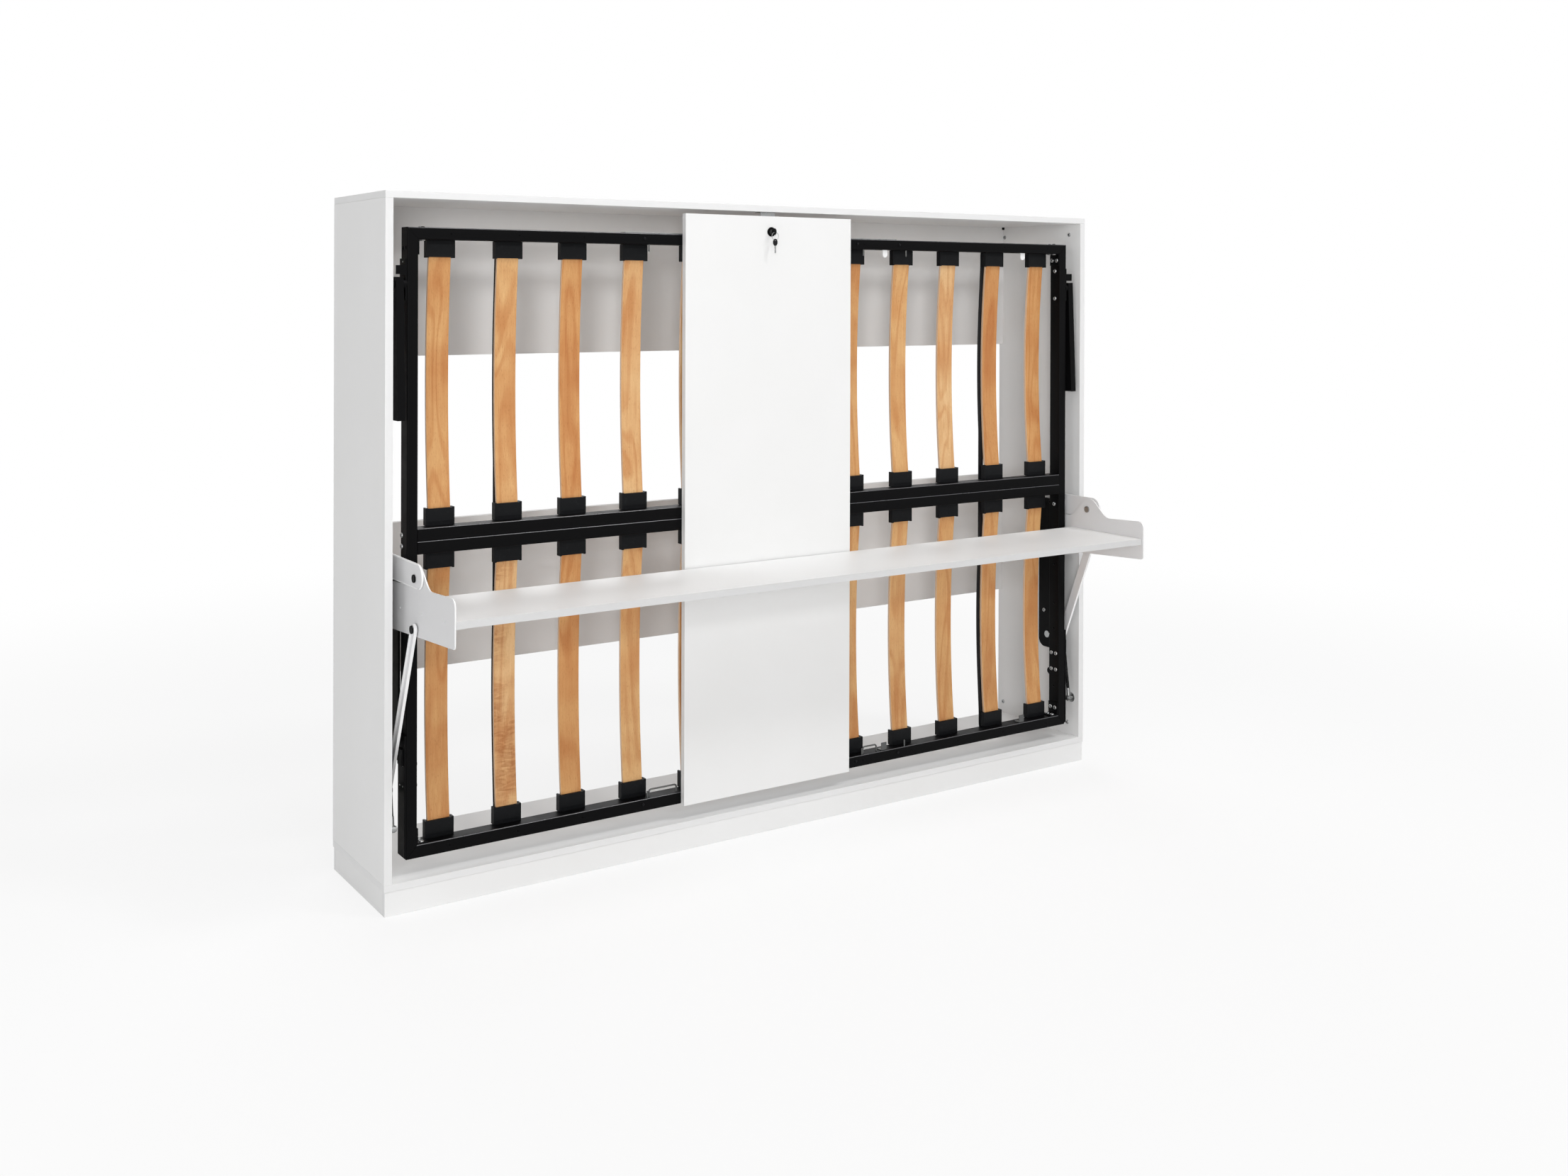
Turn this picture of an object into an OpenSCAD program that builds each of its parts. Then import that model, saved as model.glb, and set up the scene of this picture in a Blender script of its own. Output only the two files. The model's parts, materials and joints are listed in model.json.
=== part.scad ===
// Wall bed that folds down sideways from an open cabinet, for a 1400 x 2000 mattress.
// A desk hangs in front of the upright frame on two parallel arms a side, so it stays level
// as the bed comes down and ends up under it. Two legs swing out, and two gas struts lift.
// X runs along the cabinet, Y from front to back and Z up from the floor.

/* [Cabinet] */
// Width over the side boards
cab_w = 2110; // [1900:10:2600]
// Height from the floor to the top
cab_h = 1590; // [1300:10:2000]
// Depth from the front edges to the back edges
cab_d = 350; // [290:5:450]
// Thickness of the side boards
side_t = 18; // [15:1:25]
// Thickness of the top panel
top_t = 16; // [12:1:25]
// Thickness of the bottom panel
bottom_t = 16; // [12:1:25]
// Height of the plinth boards
plinth_h = 54; // [30:1:100]
// Thickness of the plinth boards
plinth_t = 16; // [12:1:22]
// Height of each back board
back_h = 361; // [200:1:380]
// Thickness of each back board
back_t = 16; // [10:1:22]
// Height of the middle back board's lower edge
middle_back_z = 452; // [380:1:560]

/* [Bed frame] */
// Gap under the frame, above the bottom panel
frame_low_gap = 44; // [30:1:80]
// Gap over the frame, below the top panel
frame_top_gap = 62; // [45:1:120]
// Frame face behind the cabinet's front edges
frame_y = 18; // [17:1:40]
// Width of the tube that shows from the front
tube_face = 25; // [20:1:40]
// Depth of the tube
tube_d = 40; // [30:1:60]
// Wall of the tube
tube_wall = 1.5; // [1:0.1:3]
// Thickness of the corner brackets
corner_t = 3; // [2:0.5:5]

/* [Slats] */
// Slats in each of the two rows
slat_n = 12; // [8:1:14]
// Width of a slat
slat_w = 53; // [35:1:70]
// Thickness of a slat
slat_t = 8; // [6:0.5:12]
// Rise of a slat's bow towards the mattress
slat_bow = 18; // [5:1:30]
// Middle of the first slat from the side tube
slat_end = 63; // [62:1:90]
// Width of a slat holder
holder_w = 68; // [60:1:80]
// Height of a slat holder
holder_h = 40; // [25:1:60]
// Depth of a slat holder
holder_d = 17; // [14:0.5:24]
// Room round a slat in its holder
slat_room = 0.2; // [0.1:0.1:0.5]
// Width of a mattress strap
strap_w = 18; // [10:1:40]
// Thickness of a mattress strap
strap_t = 1.5; // [1:0.5:3]
// Slat that each strap lies behind, counted inwards from the end of the row
strap_slat = 1; // [0:1:3]
// Middle of the left strap to the left of its slat
strap_left_off = 19.5; // [0:0.5:30]
// Middle of the right strap to the left of its slat
strap_right_off = 28.5; // [0:0.5:30]

/* [Front panel and lock] */
// Width of the front panel
panel_w = 502; // [300:1:700]
// Thickness of the front panel
panel_t = 16; // [12:1:17]
// Panel and lock to the left of the middle
panel_shift = 46; // [0:1:100]
// Panel over the top of the frame
panel_over = 51; // [40:1:58]
// Panel under the bottom of the frame
panel_under = 6; // [0:1:20]
// Length of the plate on the top tube
lock_plate_w = 829; // [300:1:1200]
// Radius of the lock barrel
lock_r = 10; // [6:0.5:12]
// Gap between the lock barrel and the top of the frame
lock_gap = 1.5; // [1:0.5:5]
// Distance between the fittings of a further panel
panel_pitch = 497; // [300:1:600]

/* [Fold] */
// Fold pivot behind the front edges
fold_y = 90; // [84:1:96]
// Fold pivot above the floor
fold_z = 361; // [340:1:380]
// Radius of the fold pin
fold_pin_r = 6; // [4:0.5:8]
// Thickness of the hinge plates
hinge_t = 5; // [4:0.5:8]
// Width of the hinge plate behind the tube
hinge_wing = 69; // [55:1:80]
// Play on the radius of a pin in its hole
pin_play = 0.05; // [0.02:0.01:0.1]
// Gap between plates that pass each other
run_gap = 1; // [0.5:0.1:2]

/* [Desk] */
// Top of the desk above the floor
desk_z = 690; // [670:1:704]
// Thickness of the desk board
desk_t = 16; // [12:1:25]
// Depth of the desk board
desk_d = 272; // [220:1:320]
// Desk board in front of the cabinet
desk_gap = 3; // [2:1:20]
// Thickness of the desk side plates
desk_plate_t = 3; // [2:0.5:4]
// Desk pivot in front of the cabinet's front edges
desk_pivot_out = 65; // [55:1:80]
// Desk pivot above the floor
desk_pivot_z = 748; // [740:1:760]
// Lower link pivot under the upper one
link_drop = 110; // [100:1:120]
// Thickness of the fixed arms
arm_t = 4; // [3:0.5:5]
// Height of the fixed arms
arm_h = 56; // [44:1:60]
// Width of a link
link_w = 25; // [20:1:32]
// Depth of a link's folded edge
link_d = 7; // [5:0.5:9]
// Metal of a link
link_wall = 2; // [1.5:0.5:3]

/* [Legs] */
// Leg pivot under the top of the frame
leg_pivot_down = 127; // [110:1:200]
// Leg pivot behind the front edges
leg_pivot_y = 30; // [28:1:40]
// Width of a leg seen from the front
leg_w = 18; // [12:1:20]
// Metal of a leg
leg_wall = 3; // [2:0.5:4]

/* [Gas struts] */
// Radius of the cylinder
strut_r = 9; // [7:0.5:10]
// Radius of the rod
strut_rod_r = 4.5; // [3:0.5:5]
// Lower ball stud behind the front edges
strut_low_y = 30; // [20:1:40]
// Lower ball stud above the floor
strut_low_z = 181; // [170:1:200]
// Upper ball stud behind the front edges
strut_high_y = 106; // [100:1:112]
// Upper ball stud under the desk pivot
strut_high_drop = 3; // [0:1:6]

/* [Hidden] */
$fn = 48;

white = "#ececec";
black = "#1c1c1e";
steel = "#b9bcc0";
wood = "#cf9a63";

bore_play = 0.1;   // room round a screw in its hole
seat = 0.3;        // gap that a loose piece rests across
skin = 0.5;        // how far a cut runs past a face
plate_over = 6;    // desk side plates in front of the desk's front edge

// Heights and depths that follow from the sizes above.
base_h = plinth_h + bottom_t;
top_z = cab_h - top_t;
frame_z = base_h + frame_low_gap;
frame_top = top_z - frame_top_gap;
frame_h = frame_top - frame_z;
frame_back = frame_y + tube_d;
tube_mid = frame_y + tube_d / 2;
rail_z = frame_z + frame_h / 2;
pivot_y = -desk_pivot_out;
link_top_z = desk_pivot_z - link_drop;
link_low_z = fold_z - link_drop;
desk_back = -desk_gap;
desk_front = desk_back - desk_d;
plate_front = desk_front - plate_over;
y_middle = (cab_d + plate_front) / 2;

// Lanes beside the frame, from the tubes out to the side boards.
inner_x = cab_w / 2 - side_t;
link_washer = 2.8;
strut_side_gap = 1.5;
strut_link_gap = 0.7;
side_gap = hinge_t + run_gap + desk_plate_t + link_washer + link_d
    + strut_link_gap + 2 * strut_r + strut_side_gap;
frame_w = 2 * (inner_x - side_gap);
hinge_x = frame_w / 2;
desk_x = hinge_x + hinge_t + run_gap;
arm_x = desk_x + desk_plate_t + run_gap;
link_x = desk_x + desk_plate_t + link_washer;
strut_x = inner_x - strut_side_gap - strut_r;
inner_tube_x = frame_w / 2 - tube_face;

// Fastenings, each as [y, z] on the right-hand side.
bolt_spread = 9;
hinge_bolt_drop = [90, 43];
hinge_bolts = [for (d = hinge_bolt_drop, s = [-1, 1]) [tube_mid + s * bolt_spread, fold_z - d]];
corner_side_off = 21;
corner_flat_off = 14;
arm_rise = 6;
arm_mid_z = desk_pivot_z + arm_rise;
arm_rear_bolt_fore = 10;
arm_front_bolt = [tube_mid, arm_mid_z];
arm_rear_bolt = [fold_y - arm_rear_bolt_fore, arm_mid_z];
leg_z = frame_top - leg_pivot_down;
leg_bolt_off = [-30, 50];
leg_bolts = [for (d = leg_bolt_off) [tube_mid, leg_z + d]];
base_screw_side = 15;
base_screw_out = 24;
base_screws = [for (z = [fold_z + base_screw_out, link_low_z - base_screw_out], s = [-1, 1])
    [fold_y + s * base_screw_side, z]];
cabinet_bolt_front = 46;
cabinet_bolt_back = 23;
cabinet_bolt_low = 34;
cabinet_bolt_high = 31;
board_screw = 11;
cabinet_bolt_places = [for (y = [cabinet_bolt_front, cab_d - cabinet_bolt_back],
                            z = [base_h + cabinet_bolt_low, top_z - cabinet_bolt_high]) [y, z]];
bolt_r = 3;
screw_r = 2.2;

// The strut at rest, and how far it closes when the bed is down.
strut_low = [strut_low_y, strut_low_z];
strut_high = [strut_high_y, desk_pivot_z - strut_high_drop];
strut_arm = strut_high - [fold_y, fold_z];
strut_high_down = [fold_y - strut_arm[1], fold_z + strut_arm[0]];
strut_open = norm(strut_high - strut_low);
strut_closed = norm(strut_high_down - strut_low);
strut_stroke = strut_open - strut_closed;
strut_tilt = atan2(strut_high[0] - strut_low[0], strut_high[1] - strut_low[1]);
strut_eye_r = 8;
strut_eye_t = 12;
strut_fitting_l = 28;
strut_tube_start = 53;
strut_overlap = 60;
strut_bore_spare = 6;
strut_head_l = 22;
strut_pin_r = 4;
strut_neck_r = 5.5;
strut_neck_l = 19;

// A slat's bow is an arc through its two ends and its crown.
slat_span = (frame_h / 2 - tube_face) - tube_face;
slat_pitch = (frame_w - 2 * tube_face - 2 * slat_end) / (slat_n - 1);
holder_back = 4;
holder_y = frame_back + holder_back - holder_d;
slat_inset = 6;
slat_l = slat_span - 2 * slat_inset;
bow_r = (pow(slat_l / 2, 2) + pow(slat_bow, 2)) / (2 * slat_bow);
slat_y = frame_back - 6;
slat_crown_y = slat_y + slat_bow + slat_t / 2;
upper_mid_z = rail_z + tube_face + slat_span / 2;
lower_mid_z = rail_z - tube_face - slat_span / 2;

panel_x = -panel_shift;
panel_z = frame_z - panel_under;
panel_h = frame_top + panel_over - panel_z;
lock_z = frame_top + lock_r + lock_gap;
first_fit = 131;
panel_fit_x = [for (i = [0, 1]) panel_x + panel_w / 2 + first_fit + i * panel_pitch];

function arc(c, r, a0, a1, n = 8) =
    [for (i = [0:n]) let (a = a0 + (a1 - a0) * i / n) c + r * [cos(a), sin(a)]];
function slat_x(i) = -(slat_n - 1) * slat_pitch / 2 + i * slat_pitch;

module place() { translate([0, -y_middle, 0]) children(); }
module on_left() { mirror([1, 0, 0]) children(); }
module both() { children(); on_left() children(); }

// Turns a shape that stands along Z at the origin so that it points to +X or to -X.
module to_right(x, p) { translate([x, p[0], p[1]]) rotate([0, 90, 0]) children(); }
module to_left(x, p) { translate([x, p[0], p[1]]) rotate([0, -90, 0]) children(); }

// Extrudes a YZ outline along X, from x to x + t.
module slab(x, t) {
    translate([x, 0, 0]) rotate([90, 0, 90]) linear_extrude(t) children();
}

// A bolt with a domed head on z = 0 and its shank below.
module bolt(r, l, h = 3) {
    head_r = 2 * r;
    dome_r = 2.2 * head_r;
    socket_r = 0.7 * r;
    socket_d = 1.6;
    translate([0, 0, -l]) cylinder(r = r, h = l);
    difference() {
        intersection() {
            cylinder(r = head_r, h = h);
            translate([0, 0, h - dome_r]) sphere(r = dome_r, $fn = 40);
        }
        translate([0, 0, h - socket_d]) cylinder(r = socket_r, h = 2 * socket_d, $fn = 6);
    }
}
module hole(r, l) { translate([0, 0, -l]) cylinder(r = r, h = l + skin); }

// ---- Cabinet ----

module cabinet_top_panel() {
    color(white) translate([-cab_w / 2, 0, top_z]) cube([cab_w, cab_d, top_t]);
}

module side_board() {
    difference() {
        translate([inner_x, 0, base_h]) cube([side_t, cab_d, top_z - base_h]);
        for (p = cabinet_bolt_places) to_left(inner_x, p) hole(bolt_r + bore_play, board_screw + 1);
        for (p = base_screws) to_left(inner_x, p) hole(screw_r + bore_play, board_screw);
        to_left(inner_x, strut_low) hole(strut_pin_r + bore_play, board_screw + 1);
    }
}
module cabinet_left_side() { color(white) on_left() side_board(); }
module cabinet_right_side() { color(white) side_board(); }

module cabinet_bottom_panel() {
    color(white) translate([-cab_w / 2, 0, plinth_h]) cube([cab_w, cab_d, bottom_t]);
}

plinth_in = 2;
module plinth_long(y) {
    color(white) translate([-cab_w / 2 + plinth_in, y, 0])
        cube([cab_w - 2 * plinth_in, plinth_t, plinth_h]);
}
module plinth_front_board() { plinth_long(plinth_in); }
module plinth_rear_board() { plinth_long(cab_d - plinth_in - plinth_t); }
module plinth_side_boards() {
    color(white) both()
        translate([cab_w / 2 - plinth_in - plinth_t, plinth_in + plinth_t, 0])
            cube([plinth_t, cab_d - 2 * plinth_in - 2 * plinth_t, plinth_h]);
}

wall_hole_x = 800;
wall_hole_z = 120;
wall_hole_r = 3;
module back_board(z) {
    translate([-inner_x, cab_d - back_t, z]) cube([2 * inner_x, back_t, back_h]);
}
module upper_back_board() {
    color(white) difference() {
        back_board(top_z - back_h);
        for (x = [-wall_hole_x, wall_hole_x], z = [-wall_hole_z, wall_hole_z])
            translate([x, cab_d + skin, top_z - back_h / 2 + z]) rotate([90, 0, 0])
                cylinder(r = wall_hole_r, h = back_t + 2 * skin);
    }
}
module middle_back_board() { color(white) back_board(middle_back_z); }

base_head_h = 2;
module cabinet_screws() {
    color(steel) both() {
        for (p = cabinet_bolt_places) to_left(inner_x, p) bolt(bolt_r, board_screw);
        for (p = base_screws) to_left(inner_x - base_t, p) bolt(screw_r, board_screw, base_head_h);
    }
}

// Small black corner clips in front of the upper back board, under the top panel.
clip_w = 14;
clip_d = 22;
clip_h = 18;
clip_wall = 3;
module back_board_clips() {
    color(black) both() difference() {
        translate([inner_x - clip_w, cab_d - back_t - clip_d, top_z - clip_h])
            cube([clip_w, clip_d, clip_h]);
        translate([inner_x - clip_w - skin, cab_d - back_t - clip_d - skin, top_z - clip_h - skin])
            cube([clip_w - clip_wall + skin, clip_d - clip_wall + skin, clip_h - clip_wall + skin]);
    }
}

// The cam turns up behind this hooked plate, which hangs from the top panel.
strike_w = 44;
strike_t = 2;
strike_foot = 26;
strike_rise = 22;
strike_y = frame_y + seat;
strike_z = lock_z + strike_rise;
module lock_strike() {
    color(steel) translate([panel_x - strike_w / 2, strike_y, 0]) {
        translate([0, 0, strike_z]) cube([strike_w, strike_t, top_z - strike_z]);
        translate([0, 0, top_z - strike_t]) cube([strike_w, strike_foot, strike_t]);
    }
}

// Plate on the side board with the fold pin and the stud of the link.
base_t = 2.5;
base_w = 44;
boss_r = 10;
stud_r = 5;
pin_head_t = 3;
pin_gap = 0.3;
base_over = 34;
module pivot_base() {
    low = link_low_z - base_over;
    high = fold_z + base_over;
    difference() {
        translate([inner_x - base_t, fold_y - base_w / 2, low]) cube([base_t, base_w, high - low]);
        for (p = base_screws)
            to_left(inner_x + skin, p) cylinder(r = screw_r + bore_play, h = base_t + 2 * skin);
    }
    to_left(inner_x - base_t, [fold_y, fold_z]) {
        cylinder(r = boss_r, h = inner_x - base_t - (hinge_x + hinge_t) - run_gap);
        cylinder(r = fold_pin_r, h = inner_x - base_t - hinge_x + pin_gap);
    }
    to_left(hinge_x - pin_gap, [fold_y, fold_z]) cylinder(r = boss_r, h = pin_head_t);
    to_left(inner_x - base_t, [fold_y, link_low_z]) {
        cylinder(r = boss_r, h = inner_x - base_t - (link_x + link_d) - pin_gap);
        cylinder(r = stud_r, h = inner_x - base_t - link_x + pin_gap);
    }
    to_left(link_x - pin_gap, [fold_y, link_low_z]) cylinder(r = boss_r, h = pin_head_t);
}
module pivot_base_left() { color(black) on_left() pivot_base(); }
module pivot_base_right() { color(black) pivot_base(); }

strut_flange_r = 14;
strut_flange_t = 1;
strut_collar_r = 6;
strut_nut_r = 6.5;
module strut_studs() {
    color(steel) both() to_left(inner_x, strut_low) {
        cylinder(r = strut_flange_r, h = strut_flange_t);
        translate([0, 0, -board_screw]) cylinder(r = strut_pin_r, h = board_screw + eye_far + pin_gap);
        translate([0, 0, eye_far + pin_gap]) cylinder(r = strut_nut_r, h = pin_head_t);
        cylinder(r = strut_collar_r, h = eye_near - pin_gap);
    }
}

// ---- Bed frame ----

// A mitred tube along X with its outer face on z = 0, open at the mitres.
module mitred_tube(l) {
    module bar(half, low, high, y0, y1, open) {
        translate([0, y1, 0]) rotate([90, 0, 0]) linear_extrude(y1 - y0)
            polygon([[-half + high - open, -high], [half - high + open, -high],
                     [half - low + open, -low], [-half + low - open, -low]]);
    }
    difference() {
        bar(l / 2, 0, tube_face, 0, tube_d, 0);
        bar(l / 2, tube_wall, tube_face - tube_wall, tube_wall, tube_d - tube_wall, skin);
    }
}

module corner_flat_holes() {
    for (s = [-1, 1], y = [-bolt_spread, bolt_spread])
        translate([s * (inner_tube_x - corner_flat_off), tube_mid + y, 0])
            cylinder(r = bolt_r + bore_play, h = tube_face + 2 * skin);
}

module frame_top_tube() {
    color(black) difference() {
        translate([0, frame_y, frame_top]) mitred_tube(frame_w);
        translate([0, 0, frame_top - tube_face - skin]) corner_flat_holes();
    }
}
module frame_bottom_tube() {
    color(black) difference() {
        translate([0, frame_y, frame_z]) mirror([0, 0, 1]) mitred_tube(frame_w);
        translate([0, 0, frame_z - skin]) corner_flat_holes();
    }
}

module side_tube() {
    difference() {
        translate([hinge_x, frame_y, frame_z + frame_h / 2]) rotate([0, 90, 0]) mitred_tube(frame_h);
        for (p = concat(hinge_bolts, leg_bolts, [arm_front_bolt], rail_bolts, corner_side_bolts))
            to_right(inner_tube_x - skin, p)
                cylinder(r = bolt_r + bore_play, h = tube_face + 2 * skin);
    }
}
rail_bolt_in = 8;
rail_bolt_reach = 8;
rail_bolts = [for (s = [-1, 1]) [frame_back - rail_bolt_in, rail_z + s * tube_face / 2]];
corner_side_bolts = [for (z = [frame_z + tube_face + corner_side_off,
                               frame_top - tube_face - corner_side_off],
                          s = [-1, 1]) [tube_mid + s * bolt_spread, z]];
module frame_left_tube() { color(black) on_left() side_tube(); }
module frame_right_tube() { color(black) side_tube(); }

// A rail's ends are open, so the bolts from the side tubes run on into it.
module middle_rail(z) {
    color(black) translate([-inner_tube_x, frame_y, z]) difference() {
        cube([2 * inner_tube_x, tube_d, tube_face]);
        translate([-skin, tube_wall, tube_wall])
            cube([2 * inner_tube_x + 2 * skin, tube_d - 2 * tube_wall, tube_face - 2 * tube_wall]);
    }
}
module middle_rail_upper() { middle_rail(rail_z); }
module middle_rail_lower() { middle_rail(rail_z - tube_face); }

// Angle in the lower right corner of the frame, with two bolts through each leg.
corner_w = 36;
corner_up = 36;
corner_in = slat_end - holder_w / 2 - 2;
module corner_bracket() {
    x = inner_tube_x;
    z = frame_z + tube_face;
    difference() {
        union() {
            translate([x - corner_t, tube_mid - corner_w / 2, z]) cube([corner_t, corner_w, corner_up]);
            translate([x - corner_in, tube_mid - corner_w / 2, z]) cube([corner_in, corner_w, corner_t]);
        }
        for (s = [-1, 1]) {
            to_right(x - corner_t - skin, [tube_mid + s * bolt_spread, z + corner_side_off])
                cylinder(r = bolt_r + bore_play, h = corner_t + 2 * skin);
            translate([x - corner_flat_off, tube_mid + s * bolt_spread, z - skin])
                cylinder(r = bolt_r + bore_play, h = corner_t + 2 * skin);
        }
    }
}
// The same corner again at the top, turned over about the middle of the frame.
module at_corners() {
    both() {
        children();
        translate([0, 0, 2 * rail_z]) mirror([0, 0, 1]) children();
    }
}
module corner_brackets() { color(black) at_corners() corner_bracket(); }

corner_bolt = 14;
corner_head_h = 2.5;
module frame_bolts() {
    color(steel) {
        at_corners() for (s = [-1, 1]) {
            to_left(inner_tube_x - corner_t,
                    [tube_mid + s * bolt_spread, frame_z + tube_face + corner_side_off])
                bolt(bolt_r, corner_bolt, corner_head_h);
            translate([inner_tube_x - corner_flat_off, tube_mid + s * bolt_spread,
                       frame_z + tube_face + corner_t])
                bolt(bolt_r, corner_bolt, corner_head_h);
        }
        both() {
            for (p = hinge_bolts) to_left(inner_tube_x, p) bolt(bolt_r, tube_face + hinge_t);
            for (p = leg_bolts) to_left(inner_tube_x, p) bolt(bolt_r, tube_face + leg_plate_t);
            to_left(inner_tube_x, arm_front_bolt) bolt(bolt_r, tube_face + arm_bolt_in - 1);
            for (p = rail_bolts) to_right(hinge_x, p) bolt(bolt_r, tube_face + rail_bolt_reach);
        }
    }
}

// Side plate outside the tube at the fold, with a wing behind the tube that carries the pin.
hinge_low = frame_z + 1;
hinge_step = fold_z + 24;
wing_low = fold_z - 39;
wing_high = desk_pivot_z + 16;
wing_back = frame_back + hinge_wing;
wing_corner = 24;
stop_y = [tube_mid - 16, tube_mid + 10];
stop_z = [fold_z - 42, fold_z - 6];
stop_t = 5;
module hinge_plate() {
    difference() {
        union() {
            slab(hinge_x, hinge_t) polygon(concat(
                [[frame_y, hinge_low], [frame_back, hinge_low], [frame_back, wing_low]],
                arc([wing_back - wing_corner, wing_low + wing_corner], wing_corner, -90, 0),
                arc([wing_back - wing_corner, wing_high - wing_corner], wing_corner, 0, 90),
                [[frame_back, wing_high], [frame_back, hinge_step], [frame_y, hinge_step]]
            ));
            // folded tab beside the tube, with its bolt
            translate([hinge_x + hinge_t, stop_y[0], stop_z[0]])
                cube([stop_t, stop_y[1] - stop_y[0], stop_z[1] - stop_z[0]]);
        }
        to_right(hinge_x - skin, [fold_y, fold_z])
            cylinder(r = fold_pin_r + pin_play, h = hinge_t + 2 * skin);
        for (p = concat(hinge_bolts, [arm_rear_bolt, strut_high]))
            to_right(hinge_x - skin, p) cylinder(r = bolt_r + bore_play, h = hinge_t + 2 * skin);
    }
}
module hinge_plate_left() { color(black) on_left() hinge_plate(); }
module hinge_plate_right() { color(black) hinge_plate(); }

// Arm fixed to the frame: a long plate that ends round at the desk pivot, on three spacers.
arm_back = wing_back - 8;
arm_end_r = arm_h / 2;
arm_end_y = pivot_y - 17;
arm_bolt_in = 7;
spacer_r = 7;
strut_stud_r = 5;
eye_near = inner_x - (strut_x + strut_eye_t / 2);
eye_far = inner_x - (strut_x - strut_eye_t / 2);
module desk_arm() {
    difference() {
        union() {
            translate([arm_x, arm_end_y, arm_mid_z - arm_h / 2])
                cube([arm_t, arm_back - arm_end_y, arm_h]);
            to_right(arm_x, [arm_end_y, arm_mid_z]) cylinder(r = arm_end_r, h = arm_t, $fn = 96);
            to_right(hinge_x, arm_front_bolt) cylinder(r = spacer_r, h = arm_x - hinge_x);
            for (p = [arm_rear_bolt, strut_high])
                to_right(hinge_x + hinge_t, p) cylinder(r = spacer_r, h = arm_x - hinge_x - hinge_t);
            to_right(arm_x + arm_t, strut_high)
                cylinder(r = strut_stud_r, h = strut_x - strut_eye_t / 2 - seat - arm_x - arm_t);
        }
        to_right(arm_x - skin, [pivot_y, desk_pivot_z])
            cylinder(r = stud_r + pin_play, h = arm_t + 2 * skin);
        to_right(hinge_x - skin, arm_front_bolt) cylinder(r = bolt_r + bore_play, h = arm_bolt_in + skin);
        for (p = [arm_rear_bolt, strut_high])
            to_right(hinge_x + hinge_t - skin, p) cylinder(r = bolt_r + bore_play, h = arm_bolt_in + skin);
    }
}
module desk_arm_left() { color(white) on_left() desk_arm(); }
module desk_arm_right() { color(white) desk_arm(); }

// Bolts that hold the rear of each arm to its hinge plate, with their heads inside.
module arm_bolts() {
    color(black) both() for (p = [arm_rear_bolt, strut_high])
        to_left(hinge_x, p) bolt(bolt_r, hinge_t + arm_bolt_in - 1);
}

// ---- Slats ----

// Outline of a bowed slat seen along X, its middle at the origin, grown by room.
module slat_outline(room) {
    intersection() {
        translate([slat_bow - bow_r, 0]) difference() {
            circle(r = bow_r + slat_t / 2 + room, $fn = 720);
            circle(r = bow_r - slat_t / 2 - room, $fn = 720);
        }
        translate([-slat_bow, -slat_l / 2 - room]) square([3 * slat_bow, slat_l + 2 * room]);
    }
}
module slat(x, z, room = 0) {
    translate([0, slat_y, z]) slab(x - slat_w / 2 - room, slat_w + 2 * room) slat_outline(room);
}
module slat_row(z) { color(wood) for (i = [0:slat_n - 1]) slat(slat_x(i), z); }
module upper_slats() { slat_row(upper_mid_z); }
module lower_slats() { slat_row(lower_mid_z); }

// Holders stand on a tube face at height z, up or down, and each takes the end of a slat.
module holder_row(z, up, slat_mid) {
    color(black) for (i = [0:slat_n - 1]) difference() {
        translate([slat_x(i) - holder_w / 2, holder_y, up ? z : z - holder_h])
            cube([holder_w, holder_d, holder_h]);
        slat(slat_x(i), slat_mid, slat_room);
    }
}
module top_slat_holders() { holder_row(frame_top - tube_face, false, upper_mid_z); }
module rail_slat_holders() {
    holder_row(rail_z + tube_face, true, upper_mid_z);
    holder_row(rail_z - tube_face, false, lower_mid_z);
}
module bottom_slat_holders() { holder_row(frame_z + tube_face, true, lower_mid_z); }

// A webbing strap from the top tube to the bottom tube, drawn tight over the slats' crowns.
strap_clear = 0.5;
strap_end = 8;
strap_fold = 10;
strap_steps = 6;
module strap(x) {
    over_holder = holder_y + holder_d + strap_clear;
    half = [[frame_back, frame_z + strap_end], [frame_back, frame_z + strap_end + strap_fold],
            [over_holder, frame_z + tube_face], [over_holder, frame_z + tube_face + holder_h],
            for (d = [-strap_hug:strap_hug / strap_steps:strap_hug])
                [slat_crown_y + strap_clear - d * d / (2 * bow_r), lower_mid_z + d]];
    path = concat(half, [for (i = [len(half) - 1:-1:0]) [half[i][0], 2 * rail_z - half[i][1]]]);
    color(black) slab(x - strap_w / 2, strap_w)
        polygon(concat(path, [for (i = [len(path) - 1:-1:0]) path[i] + [strap_t, 0]]));
}
strap_hug = 0.29 * slat_l;
module mattress_strap_left() { strap(slat_x(strap_slat) - strap_left_off); }
module mattress_strap_right() { strap(slat_x(slat_n - 1 - strap_slat) - strap_right_off); }

// ---- Front panel, lock and what carries further panels ----

module front_panel() {
    color(white) difference() {
        translate([panel_x - panel_w / 2, frame_y - panel_t, panel_z]) cube([panel_w, panel_t, panel_h]);
        translate([panel_x, frame_y - panel_t - skin, lock_z]) rotate([-90, 0, 0])
            cylinder(r = lock_r + bore_play, h = panel_t + 2 * skin);
    }
}

lock_plate_t = 2.5;
lock_plate_in = 12;
lock_plate_rear = 2;
fitting_shift = 11;    // plate and bar to the right of the panel's middle
module lock_plate() {
    lock_plate_d = tube_d - lock_plate_in - lock_plate_rear;
    color(steel) translate([panel_x + fitting_shift - lock_plate_w / 2, frame_y + lock_plate_in, frame_top])
        cube([lock_plate_w, lock_plate_d, lock_plate_t]);
}

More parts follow.
